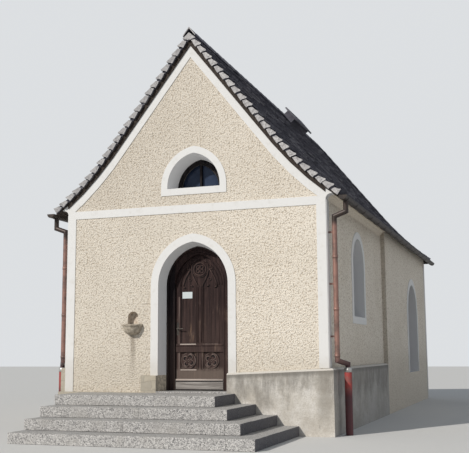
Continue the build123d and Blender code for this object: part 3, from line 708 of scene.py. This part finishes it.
def to_hip(s, w_start, w_end):
    """End of a side course at the hip, a little past it."""
    return w_start, min(w_end, RIDGE_END + right.level(s) * REAR_RUN / RUN + OVERLAP)


def rear_ends(s, w_start, w_end):
    """Both ends of a rear course, a little past the hips."""
    reach = rear.level(s) * RUN / REAR_RUN + OVERLAP
    return max(w_start, -reach), min(w_end, reach)


# Outline of a verge block as the gable shows it, a wedge that is proud at its lower end:
# along the slope from its lower corner, and up from the block's bed
BLOCK_OUTLINE = ((0.0, 0.0), (-0.044, 0.122), (0.112, 0.086), (0.142, 0.022))
BLOCK_PITCH = 0.171
BLOCK_BED = -0.033
BLOCK_STEP = -DECK_FRONT - 0.001    # the blocks reach lower in front of the deck than behind
FIELD_START = -VERGE + 0.25


def along_verge(pile, slope, ring, y0, y1):
    """A solid from y0 to y1 over an outline of places up the slope and heights."""
    pile.prism(*([slope.at(s, y, h) for s, h in ring] for y in (y0, y1)))


def verge_blocks(pile, slope):
    """Thick slabs along the verge over a recessed bedding course."""
    count = round(slope.length / BLOCK_PITCH)
    pitch = slope.length / count
    for i in range(count):
        start = (i + rng.uniform(-0.05, 0.05)) * pitch
        front = rng.uniform(0.0, 0.006) - VERGE
        back = front + rng.uniform(0.26, 0.3)
        stretch = rng.uniform(0.9, 1.04)
        rise = rng.uniform(0.92, 1.0)
        outline = [
            (start + s * stretch + rng.uniform(-0.006, 0.006), h * rise + rng.uniform(-0.004, 0.002))
            for s, h in BLOCK_OUTLINE
        ]
        (s0, h0), (s1, h1), (s2, h2), (s3, h3) = outline
        # a chipped outer corner and an uneven foot
        outline = [
            (s0, h0), ((2 * s0 + s1) / 3 + 0.008, (2 * h0 + h1) / 3),
            (s1 + 0.004, h1 - 0.018), (s1 + 0.016, h1),
            ((s1 + s2) / 2, (h1 + h2) / 2 + rng.uniform(-0.004, 0.003)), (s2, h2), (s3, h3),
            ((s0 + s3) / 2, (h0 + h3) / 2 - rng.uniform(0.0, 0.006)),
        ]
        for y0, y1, foot in ((front, BLOCK_STEP, BLOCK_BED), (BLOCK_STEP, back, 0.003)):
            ring = [(max(s, 0.0), max(h + BLOCK_BED, foot)) for s, h in outline if s < slope.length]
            if len(ring) > 2:
                along_verge(pile, slope, ring, y0, y1)
    # bedding, set back behind the blocks
    pieces = 12
    for i in range(pieces):
        s0, s1 = slope.length * i / pieces, slope.length * (i + 1) / pieces
        ring = [(s0, BLOCK_BED + 0.012), (s0, 0.045), (s1, 0.045), (s1, BLOCK_BED + 0.012)]
        along_verge(pile, slope, ring, 0.032 - VERGE, BLOCK_STEP)


for side, slope, name in ((1, right, "right"), (-1, left, "left")):
    pile = lay_slates(slope, FIELD_START, DEPTH + 0.19, to_hip)
    verge_blocks(pile, slope)
    obj = pile.make("slates_" + name, "slate")
    cut(obj, (0, RIDGE_END, 0), (-side * REAR_RUN, RUN, 0))
    cut(obj, (-side * 0.004, 0, 0), (-side, 0, 0))
    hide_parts("roof_slates_" + name)

obj = lay_slates(rear, -RUN, RUN, rear_ends).make("slates_rear", "slate")
cut(obj, (0, RIDGE_END, 0), (REAR_RUN, -RUN, 0))
cut(obj, (0, RIDGE_END, 0), (-REAR_RUN, -RUN, 0))
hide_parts("roof_slates_rear")


def roof_z(x, y):
    """Top of the slates at a place in plan."""
    side = right.top(abs(x))
    return side if y <= RIDGE_END else min(side, rear.top(y - RIDGE_END))


def fold(pile, a, b, square, reach, lift_a, lift_b, thick):
    """A slab bent over a ridge or hip, between two points of its line. It spreads along square."""
    lower, upper = [], []
    for point, lift in ((a, lift_a), (b, lift_b)):
        for shift in (-reach, 0.0, reach):
            x, y = point[0] + square[0] * shift, point[1] + square[1] * shift
            z = roof_z(x, y) + lift
            lower.append((x, y, z))
            upper.append((x, y, z + thick))
    verts = lower + upper
    faces = [
        (0, 3, 4, 1), (1, 4, 5, 2), (6, 7, 10, 9), (7, 8, 11, 10),
        (0, 1, 7, 6), (1, 2, 8, 7), (3, 9, 10, 4), (4, 10, 11, 5), (0, 6, 9, 3), (2, 5, 11, 8),
    ]
    pile.add(verts, faces)


caps = Pile()
y = -VERGE
while y < RIDGE_END - 0.02:
    size = rng.uniform(0.3, 0.42)
    end = min(y + size, RIDGE_END)
    fold(caps, (0, y), (0, end + 0.02), (1, 0), rng.uniform(0.105, 0.13), 0.012, 0.002, 0.026)
    y = end
for side in (1, -1):
    span = math.hypot(RUN, REAR_RUN)
    square = (REAR_RUN / span, -side * RUN / span)
    x = RUN - 0.01
    while x > 0.02:
        size = rng.uniform(0.13, 0.18)
        low = (side * x, RIDGE_END + x * REAR_RUN / RUN)
        top_x = max(x - size, 0.0)
        high = (side * (top_x - 0.02), RIDGE_END + (top_x - 0.02) * REAR_RUN / RUN)
        fold(caps, low, high, square, rng.uniform(0.09, 0.12), 0.01, -0.01, 0.026)
        x = top_x
caps_obj = caps.make("ridge_and_hip_slabs", "slate")
# the lowest slabs end at the eaves
cut(caps_obj, (RUN, 0, 0), (1, 0, 0))
cut(caps_obj, (-RUN, 0, 0), (-1, 0, 0))
cut(caps_obj, (0, RIDGE_END + REAR_RUN, 0), (0, 1, 0))
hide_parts("ridge_cap")

# Steps

STEP_COUNT = 4
RISER = HIGH["step_1"].z
TREAD_WALL = -0.09         # the treads end at the plinth
KERB = 0.14                # width of the long blocks along a step's front
JOINT_GAP = 0.0008


def stretches(start, end, spare, shortest, longest):
    """Splits a length at random, the last piece up to spare long."""
    marks = [start]
    while marks[-1] < end - spare:
        marks.append(marks[-1] + rng.uniform(shortest, longest))
    return zip(marks, marks[1:] + [end])


for k in range(STEP_COUNT):
    top_step = k == STEP_COUNT - 1
    low, high = LOW[f"step_{k + 1}"], HIGH[f"step_{k + 1}"]
    x0, x1, y0 = low.x, high.x, low.y
    z0, z1 = k * RISER, (k + 1) * RISER
    last_row = TREAD_WALL if top_step else y0 + 0.52
    blocks = [(a, b, y0, y0 + KERB) for a, b in stretches(x0, x1, 1.5, 1.5, 2.1)]
    blocks += [(a, b, y0 + KERB, last_row) for a, b in stretches(x0, x1, 1.3, 0.7, 1.1)]
    if not top_step:
        blocks += [(x1 - 0.42, x1, a, b) for a, b in stretches(last_row, TREAD_WALL, 1.2, 0.6, 0.95)]
    bm = bmesh.new()
    for a, b, c, d in blocks:
        made = bmesh.ops.create_cube(bm, size=1.0)["verts"]
        drop = rng.uniform(0.0, 0.004)
        for v in made:
            v.co.x = (a + JOINT_GAP) if v.co.x < 0 else (b - JOINT_GAP)
            v.co.y = (c + JOINT_GAP) if v.co.y < 0 else (d - JOINT_GAP)
            v.co.z = (z0 + 0.002) if v.co.z < 0 else (z1 - drop)
    bmesh.ops.bevel(bm, geom=bm.edges[:], offset=0.005, segments=2, affect="EDGES", profile=0.6)
    name = f"step_blocks_{k + 1}"
    mesh = bpy.data.meshes.new(name)
    bm.to_mesh(mesh)
    bm.free()
    step = hang(name, mesh, PAINTS["granite"], "building")
    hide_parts(f"step_{k + 1}")
    core = Pile()
    core.box((x0 + 0.02, y0 + 0.02, z0), (x1 - 0.02, TREAD_WALL, z1 - 0.02))
    core.make(f"step_core_{k + 1}", "granite")

# Door


def arc(centre_x, centre_z, radius, start, end, y, count=24):
    """Points of an arc in a plane parallel to the facade, angles in degrees."""
    turns = [math.radians(start + (end - start) * i / count) for i in range(count + 1)]
    return [(centre_x + radius * math.cos(t), y, centre_z + radius * math.sin(t)) for t in turns]


def arch(centre, spring, half, y, foot=None):
    """Points of a slightly pointed arch from left to right, from foot to foot if one is given."""
    radius = half + ARCH_POINT
    top = math.acos(ARCH_POINT / radius)
    turns = [top * i / 18 for i in range(19)]
    rise = [(ARCH_POINT - radius * math.cos(t), spring + radius * math.sin(t)) for t in turns]
    if foot is not None:
        rise.insert(0, (-half, foot))
    return [(centre + x, y, z) for x, z in rise] + [(centre - x, y, z) for x, z in reversed(rise[:-1])]


def on_leaf(points, y, side=1):
    """Points given from the door's middle, mirrored on side -1."""
    return [(DOOR_X + side * x, y, z) for x, z in points]


panel_y = LEAF_FRONT + PANEL_SINK
mid_y = panel_y - 0.006
inner = LEAF_HALF - STILE
ROSE_Z = 2.775
ROSE_R = 0.112

# worn wood: lighter partly by wear and partly as painted highlight on raised edges and lobes
worn_lit_wood = wood_paint("worn_lit_wood", (0.07, 0.048, 0.042), (0.13, 0.095, 0.085), (0.2, 0.155, 0.14))
# carved wood lighter than the leaf, as painted highlight on the raised carving
lit_carved_wood = wood_paint(
    "lit_carved_wood", (0.03, 0.018, 0.017), (0.055, 0.034, 0.031), (0.095, 0.062, 0.055)
)
# pale wood as painted highlight on the sills and the weather board's drip bead
lit_wood = wood_paint("lit_wood", (0.26, 0.21, 0.185), (0.42, 0.355, 0.32), (0.56, 0.485, 0.44), "X")


class Relief(Pile):
    """Round ribs on a panel, each with a near-black tube below and to its right as painted shadow."""

    def __init__(self):
        super().__init__()
        self.shadow_tubes = Pile()

    def tube(self, path, radius, sides=8, closed=False):
        super().tube(path, radius, sides, closed)
        shifted = [(x + 0.011, y + 0.004, z - 0.009) for x, y, z in path]
        self.shadow_tubes.tube(shifted, radius, sides, closed)


carving = Relief()
carving.tube(arc(DOOR_X, ROSE_Z, ROSE_R, 0, 348, mid_y, 32), 0.014, closed=True)
carving.tube(arc(DOOR_X, ROSE_Z, ROSE_R + 0.026, 0, 348, mid_y + 0.003, 32), 0.008, closed=True)
for i in range(4):
    turn = math.radians(90 * i + 45)
    cx, cz = DOOR_X + 0.05 * math.cos(turn), ROSE_Z + 0.05 * math.sin(turn)
    carving.tube(arc(cx, cz, 0.03, 0, 335, mid_y, 14), 0.009, 6, closed=True)
for side in (1, -1):
    # ogee from the middle stile, round the rose, up to the arch
    ogee = (
        (0.03, TRACERY_FOOT), (0.06, 2.52), (0.105, 2.6), (0.14, 2.68), (0.158, 2.76), (0.15, 2.84),
        (0.112, 2.905), (0.06, 2.945), (0.0, 2.965),
    )
    carving.tube(on_leaf(ogee, mid_y, side), 0.012)
    # outer rib from the leaf's side to the rose, with a cusp at its foot
    rib = ((0.322, 2.47), (0.3, 2.55), (0.262, 2.64), (0.216, 2.72), (0.172, 2.78))
    carving.tube(on_leaf(rib, mid_y, side), 0.011)
    for x, z, size in ((0.296, 2.462, 0.026), (0.15, 2.485, 0.026), (0.024, 2.476, 0.02)):
        cusp = [
            (DOOR_X + side * (x + k * size), mid_y - 0.004 + 0.008 * abs(k), z + k * size * 0.7)
            for k in (-1, 0, 1)
        ]
        carving.tube(cusp, [0.005, 0.017, 0.004], 6)
    # small round eyes between rib and rose
    for x, z in ((0.212, 2.8), (0.185, 2.6)):
        carving.tube(arc(DOOR_X + side * x, z, 0.024, 0, 335, mid_y, 12), 0.008, 6, closed=True)
carving.make("door_tracery", "door_wood", "door", lit_carved_wood, smooth=True)
carving.shadow_tubes.make("door_tracery_shadow_tubes", "door_wood", "door", PAINTS["window_wood"], smooth=True)

mouldings = Pile()
bead_y = LEAF_FRONT + 0.006
for side in (1, -1):
    near, far = MUNTIN / 2 + 0.008, inner - 0.008
    foot, head = PANEL_LOW + 0.006, PANEL_TOP - 0.006
    ring = ((near, foot), (far, foot), (far, head), (near, head))
    mouldings.tube(on_leaf(ring, bead_y, side), 0.008, closed=True)
    tall = ((near, 2.45), (near, LIGHT_FOOT + 0.006), (far, LIGHT_FOOT + 0.006), (far, DOOR_SPRING))
    mouldings.tube(on_leaf(tall, bead_y, side), 0.008)
# two strips on the middle stile and beads along the arch
for x in (-0.034, 0.034):
    for low, high in ((LIGHT_FOOT + 0.02, TRACERY_FOOT), (PANEL_LOW, PANEL_TOP)):
        mouldings.tube(on_leaf(((x, low), (x, high)), LEAF_FRONT - 0.001), 0.01)
mouldings.tube(arch(DOOR_X, DOOR_SPRING, inner - 0.012, bead_y), 0.01)
mouldings.tube(arch(DOOR_X, DOOR_SPRING, LEAF_HALF - 0.03, LEAF_FRONT - 0.001), 0.008)
mouldings.make("door_mouldings", "door_wood", "door", smooth=True)

# Lower panels: a raised round field with four lobes; near-black marks give painted shadow at its lower
# right rim, under the rail and by the stiles
painted_shade, rosettes, lobes, edges, lit_sills = Pile(), Pile(), Pile(), Pile(), Pile()
FIELD_R = 0.138
for side in (1, -1):
    near, far = sorted((side * (MUNTIN / 2 + 0.001), side * (inner - 0.001)))
    cx, cz = DOOR_X + (near + far) / 2, (PANEL_LOW + PANEL_TOP) / 2
    disc = arc(cx, cz, FIELD_R, 0, 345, 0, 23)
    rosettes.plate(disc, panel_y - 0.008, panel_y - 0.001)
    lobes.tube(arc(cx, cz, FIELD_R - 0.007, 0, 348, panel_y - 0.009, 32), 0.007, closed=True)
    painted_shade.tube(arc(cx, cz, FIELD_R + 0.004, -115, 70, panel_y - 0.004, 24), 0.007, 6)
    painted_shade.strip(near, far, PANEL_TOP - 0.018, PANEL_TOP - 0.001, panel_y - 0.003, panel_y)
    painted_shade.strip(near, near + 0.014, PANEL_LOW + 0.001, PANEL_TOP - 0.001, panel_y - 0.003, panel_y)
    for turn, size in ((62, 0.045), (150, 0.04), (238, 0.042), (325, 0.045)):
        t = math.radians(turn)
        lx, lz = cx + 0.068 * math.cos(t), cz + 0.068 * math.sin(t)
        outer = arc(lx, lz, size, turn - 150, turn + 130, panel_y - 0.01, 16)
        lobes.tube(outer, [0.004 + 0.008 * math.sin(math.pi * (k + 1) / 18) for k in range(17)])
        # dark crescent in the lobe, between two arcs, as painted shade
        bay = arc(lx, lz, size * 0.72, turn - 100, turn + 100, 0, 8)
        hx, hz = lx - 0.3 * size * math.cos(t), lz - 0.3 * size * math.sin(t)
        lip = arc(hx, hz, size * 0.42, turn - 90, turn + 90, 0, 8)
        for ring in zip(bay, bay[1:], lip[1:], lip):
            painted_shade.plate(ring, panel_y - 0.0095, panel_y - 0.0085)
    lobes.tube(arc(cx, cz, 0.018, 0, 330, panel_y - 0.01, 12), 0.009, 6, closed=True)
rail = Pile()
rail_front = LOW["rail_moulding"].y
rail_foot = LOW["rail_moulding"].z
rail.strip(0.003 - LEAF_HALF, LEAF_HALF - 0.003, PANEL_TOP, rail_foot, rail_front + 0.003, LEAF_FRONT)
rail.make("door_middle_rail", "door_wood", "door")
# lighter strips on worn edges, partly painted highlight, and near-black strips beside the tall panels
# as painted shadow
for x0, x1 in ((0.001 - inner, 0.024 - inner), (MUNTIN / 2 + 0.001, MUNTIN / 2 + 0.02)):
    painted_shade.strip(x0, x1, LIGHT_FOOT + 0.02, TRACERY_FOOT, panel_y - 0.0055, panel_y)
for x0, x1, z0, z1 in (
    (-inner - 0.026, -inner - 0.004, 0.92, 2.3),
    (-0.048, -0.034, PANEL_LOW, PANEL_TOP),
    (0.038, 0.052, PANEL_LOW, PANEL_TOP),
):
    edges.strip(x0, x1, z0, z1, LEAF_FRONT - 0.0015, LEAF_FRONT + 0.001)
# pale strips at the feet of the panels, as painted highlight on the sills
for x0, x1, z, tall, pile in (
    (-inner + 0.01, -MUNTIN / 2 - 0.005, LIGHT_FOOT - 0.016, 0.017, lit_sills),
    (MUNTIN / 2 + 0.005, inner - 0.02, LIGHT_FOOT - 0.014, 0.015, edges),
    (-inner + 0.01, -MUNTIN / 2 - 0.005, PANEL_LOW - 0.02, 0.016, lit_sills),
    (MUNTIN / 2 + 0.005, inner - 0.02, PANEL_LOW - 0.018, 0.012, edges),
):
    front = rail_front - 0.001 if z > PANEL_TOP else LEAF_FRONT - 0.004
    pile.strip(x0, x1, z, z + tall, front, LEAF_FRONT + 0.001)
for pile, name, wood in (
    (painted_shade, "painted_shade_marks", PAINTS["window_wood"]), (rosettes, "rosettes", lit_carved_wood),
    (lobes, "rosette_lobes", worn_lit_wood), (edges, "worn_lit_edges", worn_lit_wood),
    (lit_sills, "lit_sill_edges", lit_wood),
):
    pile.make("door_" + name, "door_wood", "door", wood, smooth=pile is lobes)
# weather board: a drip bead in pale wood as painted highlight, over near-black strips as painted shade
board_front, board_top = LOW["weather_board"].y, HIGH["weather_board"].z
board_half = across("weather_board")[1] - 0.003
drip, shade_strip = Pile(), Pile()
ends = ((-board_half, board_top - 0.016), (board_half, board_top - 0.016))
drip.tube(on_leaf(ends, board_front + 0.006), 0.013, 10)
for z0, z1 in ((board_top - 0.052, board_top - 0.034), (DOOR_FLOOR + 0.011, DOOR_FLOOR + 0.026)):
    shade_strip.strip(-board_half, board_half, z0, z1, board_front - 0.001, board_front)
drip.make("weather_board_bead", "weather_wood", "door", lit_wood, smooth=True)
shade_strip.make("weather_board_shade_strip", "door_wood", "door", PAINTS["window_wood"])

# vertical boards in the tall panels
boards = Pile()
for side in (1, -1):
    board = (inner - MUNTIN / 2) / 2
    for i in range(2):
        a, b = (side * (MUNTIN / 2 + board * k) for k in (i + 0.007, i + 0.993))
        boards.strip(a, b, LIGHT_FOOT + 0.002, 2.62, panel_y - 0.004, panel_y + 0.002)
boards.make("door_boards", "door_wood", "door")

# bare white notice plate
notice = Paint("notice_white").finish((0.58, 0.64, 0.66), 0.45)
plate = Pile()
plate.box((-0.286, panel_y - 0.01, 2.268), (-0.1, panel_y - 0.003, 2.382))
plate.make("notice_plate", "white_plaster", "door", notice)

frame_beads = Pile()
for half in (0.475, 0.545):
    line = arch(DOOR_X, DOOR_SPRING, half, REVEAL_BACK - 0.001, DOOR_FLOOR + 0.005)
    frame_beads.tube(line, 0.011)
frame_beads.make("door_frame_beads", "door_wood", smooth=True)


def arched_strip(name, slot, centre, spring, foot, halves, front, back):
    """A flat strip round an arched opening, between two half widths."""
    outside, inside = (arch(centre, spring, half, 0, foot) for half in halves)
    pile = Pile()
    for ring in zip(outside, outside[1:], inside[1:], inside):
        pile.plate(ring, front, back)
    pile.make(name, slot)


# dark strip that covers the joint between the frame and the plastered reveal
arched_strip(
    "door_frame_cover", "door_wood", DOOR_X, DOOR_SPRING, DOOR_FLOOR + 0.004, (0.592, 0.555),
    REVEAL_BACK - 0.045, REVEAL_BACK - 0.001,
)

# Stoup: a turned half bowl with a heavy rim
BOWL = (
    (0.0, 0.062), (0.1, 0.07), (0.145, 0.045), (0.155, 0.0), (0.185, 0.004), (0.19, 0.012),
    (0.187, 0.036), (0.17, 0.046), (0.168, 0.075), (0.157, 0.11), (0.132, 0.145), (0.098, 0.17),
    (0.055, 0.184), (0.0, 0.188),
)
SEGMENTS = 28
bowl_verts = []
for radius, drop in BOWL:
    for k in range(SEGMENTS + 1):
        turn = math.pi * k / SEGMENTS
        uneven = radius * (1 + 0.012 * math.sin(5 * turn + drop * 60))
        x = STOUP_X + min(uneven, STOUP_R) * math.cos(turn)
        y = -0.0005 - min(uneven, STOUP_R - 0.004) * math.sin(turn)
        bowl_verts.append((x, y, STOUP_RIM - drop))
row = SEGMENTS + 1
bowl_faces = [
    (i + k, i + k + 1, i + row + k + 1, i + row + k)
    for i in range(0, (len(BOWL) - 1) * row, row)
    for k in range(SEGMENTS)
]
# flat back against the wall
back_right = [i * row for i in range(len(BOWL))]
back_left = [i * row + SEGMENTS for i in range(1, len(BOWL) - 1)]
bowl_faces.append(back_right + back_left[::-1])
stoup = Pile()
stoup.add(bowl_verts, bowl_faces)
stoup_obj = stoup.make("stoup_bowl", "stoup_stone", smooth=True)
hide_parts("stoup")

# Windows, side door

LUNETTE_FOOT = 4.182
# where the glass of the side windows stands: x, and middle along the wall
SIDE_WINDOWS = ((2.14, 2.54), (-2.14, 2.54), (-2.23, 8.115))
BAR_LEVELS = (2.3, 2.63, 2.96)
sash_y = LOW["window_frames"].y
arched_strip(
    "lunette_frame_face", "window_wood", LUNETTE_X, LUNETTE_SPRING, LUNETTE_FOOT, (0.432, 0.358),
    sash_y - 0.006, sash_y,
)
bead = Pile()
bead_line = arch(LUNETTE_X, LUNETTE_SPRING, 0.352, sash_y - 0.002, LUNETTE_FOOT + 0.02)
bead.tube(bead_line, 0.006, closed=True)
bead.make("lunette_bead", "window_wood", material=PAINTS["iron"], smooth=True)
# glazing bars of the nave's and the choir's windows
bars = Pile()
for x, middle in SIDE_WINDOWS:
    for level in BAR_LEVELS:
        bars.tube([(x, middle - 0.44, level), (x, middle + 0.44, level)], 0.011, 6)
    for shift in (-0.235, 0.235):
        bars.tube([(x, middle + shift, 2.03), (x, middle + shift, 3.3)], 0.009, 6)
bars.make("window_bars", "window_wood", smooth=True)

# Side door: planks, ledges and latch on its outer face
planks = Pile()
side_x = HIGH["side_door"].x
side_low, side_high = LOW["side_door"], HIGH["side_door"]
side_mid = (side_low.y + side_high.y) / 2
side_half = (side_high.y - side_low.y) / 2
side_spring = side_high.z - side_half
PLANKS = 9
pitch = (2 * side_half - 0.02) / PLANKS
for i in range(PLANKS):
    a = side_low.y + 0.01 + i * pitch
    b = a + pitch - 0.006
    edge = max(abs(a - side_mid), abs(b - side_mid))
    top = side_spring + math.sqrt(max(side_half**2 - edge**2, 0.0)) - 0.015
    planks.box((side_x - 0.001, a, side_low.z + 0.01), (side_x + 0.012, b, top))
for level in (1.05, 1.65, 2.15):
    planks.box((side_x, side_low.y + 0.03, level), (side_x + 0.022, side_high.y - 0.03, level + 0.09))
planks.make("side_door_planks", "door_wood")
latch = Pile()
grip = side_low.y + 0.09
lever = ((0.012, 0.0), (0.06, 0.0), (0.06, 0.12))
latch.tube([(side_x + x, grip + y, 1.72) for x, y in lever], 0.009)
latch.make("side_door_latch", "iron", smooth=True)

# Rainwater goods

straps, collars = Pile(), Pile()
STRAP_PITCH = 0.72
STRAP_WALL = 2.62          # where the straps meet the wall
PIPE_X, PIPE_Y = 2.514, 0.1
COLLAR_FEET = (2.84, 1.99, 1.24)
STANDPIPE_X, STANDPIPE_Y = 2.64, 0.3
bend = GUTTER_R + 0.0015
for side in (1, -1):
    y = 0.05
    while y < DEPTH + 0.1:
        hoop = arc(GUTTER_X, GUTTER_Z, bend, -26, -180, y, 11)
        hoop = [(side * x, y, z) for x, y, z in hoop]
        straps.tube(hoop, 0.005, 6)
        straps.tube([hoop[-1], (side * STRAP_WALL, y, GUTTER_Z + 0.02)], 0.005, 6)
        y += STRAP_PITCH
    # stop ends
    disc = arc(GUTTER_X, GUTTER_Z, GUTTER_R - 0.004, 0, -180, 0, 12)
    for y in (LOW["gutter_right"].y + 0.001, HIGH["gutter_right"].y - 0.004):
        straps.plate([(side * x, y, z) for x, y, z in disc], y + 0.003, y)
    for foot in COLLAR_FEET:
        collars.tube([(side * PIPE_X, PIPE_Y, z) for z in (foot, foot + 0.05)], 0.0465, 16)
straps.make("gutter_brackets", "gutter_metal")
collars.make("pipe_collars", "copper_pipe", smooth=True)
zinc = metal_paint("bare_zinc", (0.55, 0.55, 0.54), (0.35, 0.34, 0.33), 0.4, 0.6)
cuffs = Pile()
for side in (1, -1):
    cuffs.tube([(side * STANDPIPE_X, STANDPIPE_Y, z) for z in (1.0, 1.075)], 0.064, 20)
cuffs.make("standpipe_collars", "gutter_metal", material=zinc, smooth=True)

# Light, floor, camera

SUN_BEARING = math.radians(29.0)    # left of the facade's normal
SUN_HEIGHT = math.radians(34.0)
SUN_STRENGTH = 2.95
BOUNCE = 0.16              # light thrown back by ground and slope on the right
SKY_FILL = 0.365


def sun_lamp(name, strength, colour, spread, source):
    """A far lamp that shines from where source points, spread in degrees."""
    data = bpy.data.lights.new(name, "SUN")
    data.energy = strength
    data.color = colour
    data.angle = math.radians(spread)
    place(name, data).rotation_euler = Vector(source).to_track_quat("Z", "Y").to_euler()


level_part = math.cos(SUN_HEIGHT)
towards_sun = (
    -math.sin(SUN_BEARING) * level_part, -math.cos(SUN_BEARING) * level_part, math.sin(SUN_HEIGHT)
)
sun_lamp("sun", SUN_STRENGTH, (1.0, 0.95, 0.88), 0.6, towards_sun)
sun_lamp("bounce", BOUNCE, (1.0, 0.93, 0.84), 60, (1.0, -0.25, 0.12))

world = bpy.data.worlds.new("world")
bpy.context.scene.world = world
sky = Nodes(world)
# skylight on the object, and the pale backdrop that only the camera sees
light = sky.node("Background", {"Color": (0.84, 0.91, 1.0), "Strength": SKY_FILL}).outputs[0]
backdrop = sky.node("Background", {"Color": (0.72, 0.74, 0.76), "Strength": 1.0}).outputs[0]
to_camera = sky.node("LightPath").outputs["Is Camera Ray"]
chosen = sky.node("MixShader", {0: to_camera, 1: light, 2: backdrop}).outputs[0]
sky.node("OutputWorld", {"Surface": chosen})

floor_mesh = bpy.data.meshes.new("floor")
corners = [(60 * x, 60 * y, -0.001) for x, y in ((-1, -1), (1, -1), (1, 1), (-1, 1))]
floor_mesh.from_pydata(corners, [], [(0, 1, 2, 3)])
floor_mesh.materials.append(Paint("floor_pale").finish((0.62, 0.62, 0.61), 0.95))
place("floor", floor_mesh)

CAMERA_PLACE = (5.646, -13.708, 1.347)
camera_data = bpy.data.cameras.new("camera")
camera_data.sensor_fit = "HORIZONTAL"
camera_data.sensor_width = 36.0
camera_data.lens = 66.37
camera = place("camera", camera_data)
yaw, pitch, roll = (math.radians(angle) for angle in (19.44, 8.21, -0.366))
aim = Matrix.Rotation(yaw, 4, "Z") @ Matrix.Rotation(math.pi / 2 + pitch, 4, "X")
camera.matrix_world = Matrix.Translation(CAMERA_PLACE) @ aim @ Matrix.Rotation(roll, 4, "Z")
bpy.context.scene.camera = camera

bpy.context.scene.view_settings.view_transform = "Standard"
